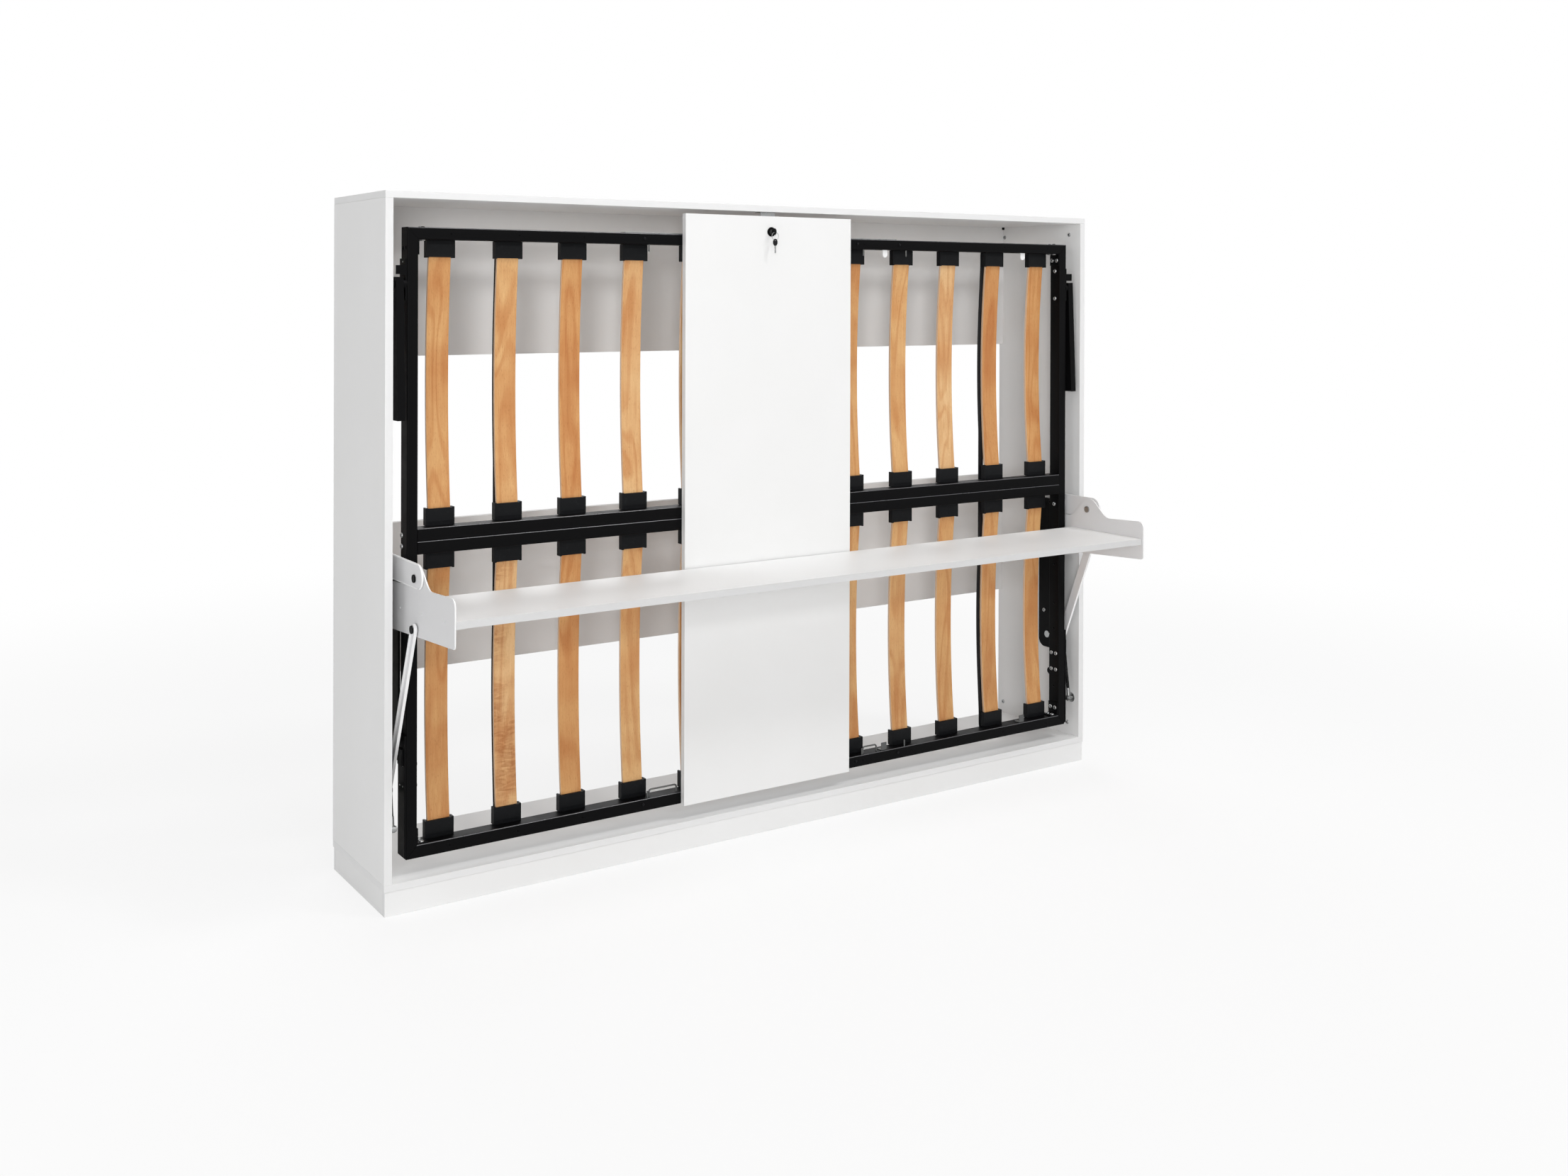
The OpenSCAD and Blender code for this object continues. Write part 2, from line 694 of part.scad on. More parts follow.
// Barrel with its front ring and the bore that the core turns in.
barrel_back = frame_y + 5;
ring_r = lock_r + 2;
ring_t = 2;
core_r = 6;
panel_face = frame_y - panel_t;
module lock_barrel() {
    color(black) translate([panel_x, 0, lock_z]) rotate([-90, 0, 0]) difference() {
        union() {
            translate([0, 0, panel_face - ring_t]) cylinder(r = ring_r, h = ring_t);
            translate([0, 0, panel_face]) cylinder(r = lock_r, h = barrel_back - panel_face);
        }
        translate([0, 0, panel_face - ring_t - skin])
            cylinder(r = core_r + pin_play, h = barrel_back - panel_face + ring_t + 2 * skin);
    }
}

// Core, cam and the key in it turn together. The cam lies level while the bed is free.
key_t = 2;
key_bow_r = 9;
key_hole_r = 2.5;
key_hole_in = 4.5;
bow_out = 12;
bow_y = panel_face - ring_t - bow_out;
cam_t = 2;
cam_l = 34;
cam_w = 10;
key_w = 5;
key_in = 8;
core_front = panel_face - ring_t;
cam_y = barrel_back + 0.5;
module lock_cam() {
    color(steel) translate([panel_x, 0, lock_z]) difference() {
        union() {
            rotate([-90, 0, 0]) {
                translate([0, 0, core_front]) cylinder(r = core_r, h = cam_y - core_front);
                translate([0, 0, cam_y]) cylinder(r = core_r + 2, h = cam_t);
            }
            translate([0, cam_y, -cam_w / 2]) cube([cam_l, cam_t, cam_w]);
        }
        translate([-key_t / 2 - bore_play, core_front - skin, -key_w / 2 - bore_play])
            cube([key_t + 2 * bore_play, key_in + 2 * skin, key_w + 2 * bore_play]);
    }
}
module lock_key() {
    color(steel) translate([panel_x, bow_y, lock_z]) difference() {
        union() {
            rotate([0, 90, 0]) cylinder(r = key_bow_r, h = key_t, center = true);
            translate([-key_t / 2, 0, -key_w / 2]) cube([key_t, core_front + key_in - bow_y, key_w]);
        }
        translate([0, -key_hole_in, 0]) rotate([0, 90, 0])
            cylinder(r = key_hole_r, h = key_t + 2 * skin, center = true);
    }
}

// A wire ring through the bow's hole, and a second key that hangs from it.
ring_wire_r = 0.8;
key_ring_r = 10;
hang_y = bow_y - key_hole_in;
hang_z = lock_z - (key_hole_r - ring_wire_r - seat);
module key_ring() {
    color(steel) translate([panel_x, hang_y, hang_z - key_ring_r]) rotate([90, 0, 0])
        rotate_extrude() translate([key_ring_r, 0]) circle(r = ring_wire_r, $fn = 16);
}
spare_drop = 2 * key_ring_r + key_hole_r - ring_wire_r - seat;
spare_blade_l = 26;
spare_tip = 32;
module spare_key() {
    color(black) translate([panel_x, hang_y, hang_z - spare_drop]) difference() {
        union() {
            translate([0, 0, -key_hole_in]) rotate([0, 90, 0])
                cylinder(r = key_bow_r, h = key_t, center = true);
            translate([-key_t / 2, -key_w / 2, -spare_tip]) cube([key_t, key_w, spare_blade_l]);
        }
        rotate([0, 90, 0]) cylinder(r = key_hole_r, h = key_t + 2 * skin, center = true);
    }
}

// White guide tabs under the top tube, where further panels hook in.
tab_w = 16;
tab_h = 22;
tab_t = 4;
tab_in = 6;
module panel_tabs() {
    color(white) for (x = panel_fit_x)
        translate([x, frame_y + tab_in, frame_top - tube_face]) rotate([-90, 0, 0]) union() {
            translate([-tab_w / 2, 0, 0]) cube([tab_w, tab_h - tab_w / 2, tab_t]);
            translate([0, tab_h - tab_w / 2, 0]) cylinder(r = tab_w / 2, h = tab_t);
        }
}

// Small angles on the bottom tube, under those tabs.
angle_w = 18;
angle_h = 21;
angle_d = 20;
angle_t = 2;
angle_in = 4;
module panel_angles() {
    color(steel) for (x = panel_fit_x)
        translate([x - angle_w / 2, frame_y + angle_in, frame_z + tube_face]) {
            cube([angle_w, angle_d, angle_t]);
            cube([angle_w, angle_t, angle_h]);
        }
}

// Round studs on the front of the top and bottom tubes, beside the panel.
panel_stud_r = 4;
panel_stud_h = 3;
left_stud_off = 106;
right_stud_off = [34, 175];
stud_x = concat(panel_x - panel_w / 2 - left_stud_off,
    [for (d = right_stud_off) panel_x + panel_w / 2 + d]);
module panel_studs() {
    color(steel) for (x = stud_x, z = [frame_z + tube_face / 2, frame_top - tube_face / 2])
        translate([x, frame_y, z]) rotate([90, 0, 0]) cylinder(r = panel_stud_r, h = panel_stud_h);
}

// Round bar behind the foot of the panel, on two upright ends.
bar_r = 3;
bar_rise = 18;
bar_over = 95;
bar_in = 8;
module panel_bar() {
    half = panel_w / 2 + bar_over;
    color(steel) translate([panel_x + fitting_shift, frame_y + bar_in, frame_z + tube_face]) {
        translate([-half, 0, bar_rise]) rotate([0, 90, 0]) cylinder(r = bar_r, h = 2 * half);
        for (s = [-1, 1]) translate([s * half, 0, 0]) {
            cylinder(r = bar_r, h = bar_rise);
            translate([0, 0, bar_rise]) sphere(r = bar_r);
        }
    }
}

// ---- Legs ----

leg_gap = 9;
leg_x = hinge_x + leg_gap;
leg_bracket_low = 37;
leg_bracket_h = 94;
leg_bracket_in = 2;
leg_boss_r = 12;
leg_pin_r = 5;
leg_head_r = 9;
leg_plate_t = 4;
leg_stop = [leg_gap + leg_w - 2, 4, 20];
leg_stop_rise = 22;
module leg_bracket() {
    difference() {
        union() {
            translate([hinge_x, frame_y + leg_bracket_in, leg_z - leg_bracket_low])
                cube([leg_plate_t, tube_d - 2 * leg_bracket_in, leg_bracket_h]);
            to_right(hinge_x, [leg_pivot_y, leg_z]) {
                cylinder(r = leg_boss_r, h = leg_gap - pin_gap);
                cylinder(r = leg_pin_r, h = leg_gap + leg_w + pin_gap);
            }
            to_right(leg_x + leg_w + pin_gap, [leg_pivot_y, leg_z]) cylinder(r = leg_head_r, h = pin_head_t);
            translate([hinge_x, frame_y + leg_bracket_in, leg_z + leg_stop_rise]) cube(leg_stop);
        }
        for (p = leg_bolts)
            to_right(hinge_x - skin, p) cylinder(r = bolt_r + bore_play, h = leg_plate_t + 2 * skin);
    }
}
module leg_bracket_left() { color(black) on_left() leg_bracket(); }
module leg_bracket_right() { color(black) leg_bracket(); }

// A folded channel, open at the back, that gets deeper towards the foot. It is as long as
// the pivot is high when the bed is down, so the foot stands on the floor.
leg_l = fold_z + leg_pivot_y - fold_y;
leg_head = 16;
leg_back = leg_pivot_y + 22;
leg_foot_y = leg_pivot_y - 26;
leg_head_y = leg_pivot_y - 12;
module leg() {
    foot = leg_z - leg_l;
    difference() {
        slab(leg_x, leg_w) polygon([[leg_foot_y, foot], [leg_back, foot], [leg_back, leg_z + leg_head],
                                    [leg_head_y, leg_z + leg_head]]);
        slab(leg_x + leg_wall, leg_w - 2 * leg_wall) polygon([
            [leg_foot_y + leg_wall, foot + leg_wall], [leg_back + skin, foot + leg_wall],
            [leg_back + skin, leg_z + leg_head + skin], [leg_head_y + leg_wall, leg_z + leg_head + skin]]);
        to_right(leg_x - skin, [leg_pivot_y, leg_z])
            cylinder(r = leg_pin_r + pin_play, h = leg_w + 2 * skin);
    }
}
module leg_left() { color(black) on_left() leg(); }
module leg_right() { color(black) leg(); }

// ---- Desk and its links ----

desk_side_room = 0.5;
desk_lip = 30;
desk_lip_in = 10;
desk_lip_z = desk_z - desk_t;
desk_screw_reach = 9;
module desk_board() {
    w = 2 * (desk_x - desk_side_room);
    color(white) difference() {
        translate([-w / 2, desk_front, desk_lip_z]) cube([w, desk_d, desk_t]);
        both() for (y = desk_screw_y) translate([desk_x - desk_lip / 2, y, desk_lip_z - skin])
            cylinder(r = screw_r + bore_play, h = desk_screw_reach + 4 * skin);
    }
}

// Top edge of a desk plate: nearly level, with one raised hump round the pivot.
plate_rear = 90;
plate_low = link_top_z - 25;
plate_low_front = plate_low + 20;
plate_rise = 34;       // plate's edge above the desk, away from the hump
plate_slope = 0.05;
hump_half = 80;
hump_y = pivot_y - 7;
hump_over_pivot = 28;
hump_h = desk_pivot_z + hump_over_pivot - (desk_z + plate_rise);
function hump(d) = abs(d) < hump_half ? hump_h * (1 + cos(180 * d / hump_half)) / 2 : 0;
function plate_top(y) = desk_z + plate_rise - plate_slope * y + hump(y - hump_y);
desk_screw_in = 40;
desk_screw_y = [desk_front + desk_screw_in, (desk_front + desk_back) / 2, desk_back - desk_screw_in];
plate_hole_r = 2.5;
plate_hole_y = [34, -95, -225];
plate_hole_drop = 20;
plate_hole_slope = 0.058;
plate_holes = [for (y = plate_hole_y) [y, desk_z - plate_hole_drop - plate_hole_slope * y]];
module desk_plate() {
    rear_r = 14;
    front_r = 18;
    low_r = 8;
    step = 8;
    from = plate_rear - rear_r - 2;
    to = plate_front + front_r + 2;
    difference() {
        union() {
            slab(desk_x, desk_plate_t) polygon(concat(
                arc([plate_rear - low_r, plate_low + low_r], low_r, -90, 0, 4),
                arc([plate_rear - rear_r, plate_top(plate_rear - rear_r) - rear_r], rear_r, 0, 90, 6),
                [for (y = [from:-step:to]) [y, plate_top(y)]],
                arc([plate_front + front_r, plate_top(to) - front_r], front_r, 90, 180, 6),
                arc([plate_front + low_r, plate_low_front + low_r], low_r, 180, 270, 4)
            ));
            // lip under the end of the board
            translate([desk_x - desk_lip, desk_front + desk_lip_in, desk_lip_z - desk_plate_t])
                cube([desk_lip, desk_d - 2 * desk_lip_in, desk_plate_t]);
        }
        for (p = [[pivot_y, desk_pivot_z], [pivot_y, link_top_z]])
            to_right(desk_x - skin, p) cylinder(r = stud_r + bore_play, h = desk_plate_t + 2 * skin);
        for (p = plate_holes)
            to_right(desk_x - skin, p) cylinder(r = plate_hole_r, h = desk_plate_t + 2 * skin);
        for (y = desk_screw_y) translate([desk_x - desk_lip / 2, y, desk_lip_z - desk_plate_t - skin])
            cylinder(r = screw_r + bore_play, h = desk_plate_t + 2 * skin);
    }
}
module desk_plate_left() { color(white) on_left() desk_plate(); }
module desk_plate_right() { color(white) desk_plate(); }

// Pivot bolts through the plates, with a wide head on each end, and the screws of the board.
pivot_head_r = 9;
desk_head_h = 1.6;
module pivot_bolt(p, far) {
    to_right(desk_x - pin_head_t, p) {
        cylinder(r = pivot_head_r, h = pin_head_t);
        cylinder(r = stud_r, h = far + pin_gap - desk_x + pin_head_t);
        translate([0, 0, far + pin_gap - desk_x + pin_head_t]) cylinder(r = pivot_head_r, h = pin_head_t);
    }
}
module desk_bolts() {
    color(black) both() {
        pivot_bolt([pivot_y, desk_pivot_z], arm_x + arm_t);
        pivot_bolt([pivot_y, link_top_z], link_x + link_d);
        for (y = desk_screw_y)
            translate([desk_x - desk_lip / 2, y, desk_lip_z - desk_plate_t]) mirror([0, 0, 1])
                bolt(screw_r, desk_plate_t + desk_screw_reach, desk_head_h);
    }
}

// A pressed strip with a rim all round, from the stud on the cabinet up to the desk plate.
link_len = norm([pivot_y - fold_y, link_top_z - link_low_z]);
link_tilt = atan2(pivot_y - fold_y, link_top_z - link_low_z);
link_boss_r = 8;
module link() {
    module strip(r, t) {
        for (z = [0, link_len]) translate([0, 0, z]) rotate([0, 90, 0]) cylinder(r = r, h = t);
        translate([0, -r, 0]) cube([t, 2 * r, link_len]);
    }
    translate([link_x, fold_y, link_low_z]) rotate([-link_tilt, 0, 0]) difference() {
        union() {
            difference() {
                strip(link_w / 2, link_d);
                translate([link_wall, 0, 0]) strip(link_w / 2 - link_wall, link_d);
            }
            for (z = [0, link_len])
                translate([0, 0, z]) rotate([0, 90, 0]) cylinder(r = link_boss_r, h = link_d);
        }
        translate([-skin, 0, 0]) rotate([0, 90, 0]) cylinder(r = stud_r + pin_play, h = link_d + 2 * skin);
        translate([-skin, 0, link_len]) rotate([0, 90, 0])
            cylinder(r = stud_r + bore_play, h = link_d + 2 * skin);
    }
}
module link_left() { color(white) on_left() link(); }
module link_right() { color(white) link(); }

// ---- Gas struts ----

module along_strut() {
    translate([strut_x, strut_low[0], strut_low[1]]) rotate([-strut_tilt, 0, 0]) children();
}
rod_l = strut_tube_start + strut_stroke + strut_overlap;
module gas_rod() {
    color(black) along_strut() {
        difference() {
            union() {
                rotate([0, 90, 0]) cylinder(r = strut_eye_r, h = strut_eye_t, center = true);
                cylinder(r = strut_neck_r, h = strut_fitting_l);
                cylinder(r = strut_rod_r, h = rod_l);
            }
            rotate([0, 90, 0])
                cylinder(r = strut_pin_r + pin_play, h = strut_eye_t + 2 * skin, center = true);
        }
    }
}
module gas_cylinder() {
    low = strut_tube_start + strut_stroke;
    high = strut_open - strut_head_l;
    color(black) along_strut() difference() {
        union() {
            translate([0, 0, low]) cylinder(r = strut_r, h = high - low);
            translate([0, 0, high - 1]) cylinder(r = strut_neck_r, h = strut_neck_l);
            translate([0, 0, strut_open]) rotate([0, 90, 0])
                cylinder(r = strut_eye_r, h = strut_eye_t, center = true);
        }
        translate([0, 0, low - skin])
            cylinder(r = strut_rod_r + pin_play, h = strut_stroke + strut_overlap + strut_bore_spare);
    }
}
module gas_rod_left() { on_left() gas_rod(); }
module gas_rod_right() { gas_rod(); }
module gas_cylinder_left() { on_left() gas_cylinder(); }
module gas_cylinder_right() { gas_cylinder(); }

place() cabinet_top_panel();
place() cabinet_left_side();
place() cabinet_right_side();
place() cabinet_bottom_panel();
place() plinth_front_board();
place() plinth_rear_board();
place() plinth_side_boards();
place() upper_back_board();
place() middle_back_board();
place() cabinet_screws();
place() back_board_clips();
place() lock_strike();
place() pivot_base_left();
place() pivot_base_right();
place() strut_studs();
place() frame_top_tube();
place() frame_bottom_tube();
place() frame_left_tube();
place() frame_right_tube();
place() middle_rail_upper();
place() middle_rail_lower();
place() corner_brackets();
place() frame_bolts();
place() hinge_plate_left();
place() hinge_plate_right();
place() desk_arm_left();
place() desk_arm_right();
place() arm_bolts();
place() upper_slats();
place() lower_slats();
place() top_slat_holders();
place() rail_slat_holders();
place() bottom_slat_holders();
place() mattress_strap_left();
place() mattress_strap_right();
place() front_panel();
place() lock_plate();
place() lock_barrel();
place() panel_tabs();
place() panel_angles();
place() panel_studs();
place() panel_bar();
place() leg_bracket_left();
place() leg_bracket_right();
place() lock_cam();
place() lock_key();
place() key_ring();
place() spare_key();
place() desk_board();
place() desk_plate_left();
place() desk_plate_right();
place() desk_bolts();
place() link_left();
place() link_right();
place() leg_left();
place() leg_right();
place() gas_rod_left();
place() gas_cylinder_left();
place() gas_rod_right();
place() gas_cylinder_right();
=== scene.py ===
import bmesh
import bpy
import json
import math
from mathutils import Matrix, Vector

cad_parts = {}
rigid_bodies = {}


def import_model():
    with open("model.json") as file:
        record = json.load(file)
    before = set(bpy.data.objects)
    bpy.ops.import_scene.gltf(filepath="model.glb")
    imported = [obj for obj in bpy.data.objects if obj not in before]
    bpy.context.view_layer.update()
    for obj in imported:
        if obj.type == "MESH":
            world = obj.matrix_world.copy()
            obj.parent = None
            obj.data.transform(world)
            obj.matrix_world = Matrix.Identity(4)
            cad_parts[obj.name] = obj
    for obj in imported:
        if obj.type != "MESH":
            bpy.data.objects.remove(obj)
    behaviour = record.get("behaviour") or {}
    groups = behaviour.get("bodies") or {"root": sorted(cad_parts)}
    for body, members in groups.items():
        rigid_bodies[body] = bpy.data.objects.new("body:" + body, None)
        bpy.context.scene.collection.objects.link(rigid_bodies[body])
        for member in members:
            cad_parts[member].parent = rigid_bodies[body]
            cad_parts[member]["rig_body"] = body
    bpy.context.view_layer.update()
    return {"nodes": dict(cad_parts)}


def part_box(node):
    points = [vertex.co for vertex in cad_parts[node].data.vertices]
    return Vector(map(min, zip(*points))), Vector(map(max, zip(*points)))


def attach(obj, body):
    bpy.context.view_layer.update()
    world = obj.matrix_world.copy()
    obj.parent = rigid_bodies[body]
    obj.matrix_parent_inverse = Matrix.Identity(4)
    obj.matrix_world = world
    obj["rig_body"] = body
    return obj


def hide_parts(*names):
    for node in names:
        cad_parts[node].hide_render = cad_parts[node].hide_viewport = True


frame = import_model()
nodes = frame["nodes"]
scene = bpy.context.scene
scene.view_settings.view_transform = "Standard"
mm = 0.001
xAxis, yAxis = Vector((1, 0, 0)), Vector((0, 1, 0))
print("frame loaded:", len(nodes), "nodes")


meshing = {
    "weld": 0.02,     # mm within which a CAD mesh's corners are one
    "flat": 0.6,      # degrees within which its triangles make one face
    "easeFrom": 30,   # degrees from which an edge gets eased
    "bigFaces": 90,   # how much big faces steer the shading, 50 is not at all and 100 is fully
}


def srgb(hexText):
    levels = [int(hexText[i:i + 2], 16) / 255 for i in (1, 3, 5)]
    return tuple(c / 12.92 if c <= 0.04045 else ((c + 0.055) / 1.055) ** 2.4 for c in levels) + (1.0,)


def addNode(tree, kind, settings=None):
    # a setting is an option of the node, a socket's value, or the node or socket that feeds a socket
    node = tree.nodes.new(kind)
    for key, value in (settings or {}).items():
        source = value.outputs[0] if isinstance(value, bpy.types.Node) else value
        if isinstance(source, bpy.types.NodeSocket):
            tree.links.new(source, node.inputs[key])
        elif isinstance(key, str) and hasattr(node, key):
            setattr(node, key, value)
        else:
            node.inputs[key].default_value = value
    return node


def emptyTree(owner):
    owner.use_nodes = True
    owner.node_tree.nodes.clear()
    return owner.node_tree


def newMaterial(name):
    material = bpy.data.materials.new(name)
    return material, emptyTree(material)


def finishMaterial(tree, settings, colour, gloss=None, height=None, relief=(0, 0)):
    # every surface ends in one Principled shader; relief is the strength and the depth in mm
    wired = {"Base Color": colour}
    if gloss:
        wired["Roughness"] = gloss
    if height:
        wired["Normal"] = addNode(tree, "ShaderNodeBump", {"Strength": relief[0], "Distance": relief[1] * mm,
                                                           "Height": height})
    shader = addNode(tree, "ShaderNodeBsdfPrincipled", {**settings, **wired})
    addNode(tree, "ShaderNodeOutputMaterial", {"Surface": shader})


def newTree(name, sockets):
    tree = bpy.data.node_groups.new(name, "GeometryNodeTree")
    for label, kind in (("Geometry", "Geometry"),) + sockets:
        tree.interface.new_socket(label, in_out="INPUT", socket_type="NodeSocket" + kind)
    tree.interface.new_socket("Geometry", in_out="OUTPUT", socket_type="NodeSocketGeometry")
    return tree, tree.nodes.new("NodeGroupInput").outputs


def dressInstances(tree, instances, material):
    # makes the instances real and gives them their material
    real = addNode(tree, "GeometryNodeRealizeInstances", {"Geometry": instances})
    return addNode(tree, "GeometryNodeSetMaterial", {"Geometry": real, "Material": material})


def evenLine(tree, given):
    # Count points, Pitch apart along x, with the middle of their row at Place
    spaces = addNode(tree, "ShaderNodeMath", {"operation": "SUBTRACT", 0: given["Count"], 1: 1.0})
    span = addNode(tree, "ShaderNodeMath", {"operation": "MULTIPLY", 0: spaces, 1: given["Pitch"]})
    first = addNode(tree, "ShaderNodeMath", {"operation": "MULTIPLY", 0: span, 1: -0.5})
    back = addNode(tree, "ShaderNodeCombineXYZ", {"X": first})
    start = addNode(tree, "ShaderNodeVectorMath", {"operation": "ADD", 0: back, 1: given["Place"]})
    step = addNode(tree, "ShaderNodeCombineXYZ", {"X": given["Pitch"]})
    return addNode(tree, "GeometryNodeMeshLine", {"mode": "OFFSET", "Count": given["Count"],
                                                  "Start Location": start, "Offset": step})


def showPiece(pieceName, mesh):
    mesh.name = pieceName
    piece = bpy.data.objects.new(pieceName, mesh)
    scene.collection.objects.link(piece)
    return piece


def bmeshPiece(pieceName, shape):
    # a closed bmesh becomes an object, its faces turned outwards
    if shape.calc_volume(signed=True) < 0:
        bmesh.ops.reverse_faces(shape, faces=shape.faces)
    mesh = bpy.data.meshes.new(pieceName)
    shape.to_mesh(mesh)
    shape.free()
    return showPiece(pieceName, mesh)


def bakeModifiers(piece):
    # the evaluated result becomes the piece's plain mesh
    bpy.context.view_layer.update()
    graph = bpy.context.evaluated_depsgraph_get()
    mesh = bpy.data.meshes.new_from_object(piece.evaluated_get(graph), preserve_all_data_layers=True,
                                           depsgraph=graph)
    old = piece.data
    piece.modifiers.clear()
    piece.data = mesh
    bpy.data.meshes.remove(old)
    mesh.name = piece.name


def growPiece(tree, pieceName, values, points=None):
    # runs a geometry tree, on points where it needs them, and keeps what it makes as a plain mesh
    piece = showPiece(pieceName, points or bpy.data.meshes.new(pieceName))
    modifier = piece.modifiers.new("grow", "NODES")
    modifier.node_group = tree
    for item in tree.interface.items_tree:
        if item.item_type == "SOCKET" and item.in_out == "INPUT" and item.name in values:
            modifier[item.identifier] = values[item.name]
    bakeModifiers(piece)
    return piece


def evenShading(piece):
    # big faces steer the shading, so that flat ones look flat
    for face in piece.data.polygons:
        face.use_smooth = True
    weighted = piece.modifiers.new("evenShading", "WEIGHTED_NORMAL")
    weighted.keep_sharp = True
    weighted.weight = meshing["bigFaces"]
    bakeModifiers(piece)


def smoothFaces(piece, sharp=32, even=True):
    for face in piece.data.polygons:
        face.use_smooth = True
    piece.data.set_sharp_from_angle(angle=math.radians(sharp))
    if even:
        evenShading(piece)


def easeEdges(piece, width, segments=2):
    eased = piece.modifiers.new("easedEdges", "BEVEL")
    eased.width = width * mm
    eased.segments = segments
    eased.limit_method = "ANGLE"
    eased.angle_limit = math.radians(meshing["easeFrom"])
    evenShading(piece)


def weldedCopy(nodeName):
    shape = bmesh.new()
    shape.from_mesh(nodes[nodeName].data)
    bmesh.ops.remove_doubles(shape, verts=shape.verts, dist=meshing["weld"] * mm)
    return shape


def mergedCopy(nodeName):
    # a CAD node's shape as whole faces instead of triangles
    shape = weldedCopy(nodeName)
    flat = math.radians(meshing["flat"])
    bmesh.ops.dissolve_limit(shape, angle_limit=flat, verts=shape.verts, edges=shape.edges)
    return shape


def easedCopy(nodeName, pieceName, width):
    piece = bmeshPiece(pieceName, mergedCopy(nodeName))
    easeEdges(piece, width)
    return piece


def circleRing(shape, centre, out, across, radius, sides):
    # points round a centre, from the direction out towards the direction across
    turns = [math.tau * k / sides for k in range(sides)]
    return [shape.verts.new(centre + (out * math.cos(turn) + across * math.sin(turn)) * radius)
            for turn in turns]


def skinRings(shape, rings, around=False):
    # faces from ring to ring, then the two ends closed, or the last ring joined to the first
    made = []
    for first, second in zip(rings, rings[1:] + rings[:around]):
        for k in range(len(first)):
            n = (k + 1) % len(first)
            made.append(shape.faces.new((first[k], first[n], second[n], second[k])))
    if not around:
        made += [shape.faces.new(list(reversed(rings[0]))), shape.faces.new(rings[-1])]
    return made


def prism(pieceName, outline, axis, low, high):
    # a closed prism along an axis, from an outline in mm on the other two axes
    shape = bmesh.new()
    near, far = ([shape.verts.new([c * mm for c in (*pair[:axis], level, *pair[axis:])]) for pair in outline]
                 for level in (low, high))
    shape.faces.new(near)
    shape.faces.new(list(reversed(far)))
    for i in range(len(outline)):
        j = (i + 1) % len(outline)
        shape.faces.new((near[j], near[i], far[i], far[j]))
    return bmeshPiece(pieceName, shape)


def addRod(shape, place, axis, radius, length, sides):
    # a rod along x or y, for axis 0 or 1, round a place in metres
    turn = Matrix.Rotation(math.pi / 2, 4, "YX"[axis])
    bmesh.ops.create_cone(shape, cap_ends=True, segments=sides, radius1=radius * mm, radius2=radius * mm,
                          depth=length * mm, matrix=Matrix.Translation(place) @ turn)


def addBlock(shape, middle, size):
    scaled = Matrix.Diagonal([side * mm for side in size] + [1])
    bmesh.ops.create_cube(shape, size=1, matrix=Matrix.Translation([c * mm for c in middle]) @ scaled)


def cutAway(piece, shape):
    cutter = bmeshPiece("cutter", shape)
    cut = piece.modifiers.new("cut", "BOOLEAN")
    cut.operation = "DIFFERENCE"
    cut.solver = "EXACT"
    cut.object = cutter
    bakeModifiers(piece)
    bpy.data.objects.remove(cutter)


def drill(piece, holes, sides=12):
    # each hole is its middle, the axis it runs along, its radius and its depth, in mm
    shape = bmesh.new()
    for middle, axis, radius, depth in holes:
        addRod(shape, Vector(middle) * mm, axis, radius, depth, sides)
    cutAway(piece, shape)


def paint(piece, *materials, pick=None):
    # gives the piece its materials, and where there is more than one, pick says which face has which
    piece.data.materials.clear()
    for material in materials:
        piece.data.materials.append(material)
    for face in piece.data.polygons:
        face.material_index = pick(face) if pick else 0


def settle(piece, slotName, *cadNodes, body=None):
    # the piece rides with the nodes it stands for and takes their place
    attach(piece, body or nodes[cadNodes[0]]["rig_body"])
    if cadNodes:
        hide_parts(*cadNodes)


photoView = {
    "place": (-2.23105, -3.34033, 1.36603),  # metres
    "yaw": 33.9234,                          # degrees to the right of the cabinet's depth
    "pitch": -0.1998,
    "roll": 0.18096,
    "focal": 2200.435,                       # pixels of the whole picture
    "horizonRow": 422.31,
    "picture": (2212, 1659),
    "sensor": 36.0,
}


def setCamera(view):
    yaw, pitch, roll = (math.radians(view[key]) for key in ("yaw", "pitch", "roll"))
    turned = (Matrix.Rotation(-yaw, 4, "Z") @ Matrix.Rotation(math.pi / 2 + pitch, 4, "X")
              @ Matrix.Rotation(roll, 4, "Z"))
    camera = bpy.data.objects.new("photoCamera", bpy.data.cameras.new("photoCamera"))
    camera.matrix_world = Matrix.Translation(view["place"]) @ turned
    wide, tall = view["picture"]
    camera.data.sensor_fit = "HORIZONTAL"
    camera.data.sensor_width = view["sensor"]
    camera.data.lens = view["focal"] / wide * view["sensor"]
    camera.data.shift_y = (view["horizonRow"] - tall / 2) / wide
    camera.data.clip_end = 100
    scene.collection.objects.link(camera)
    scene.camera = camera


setCamera(photoView)


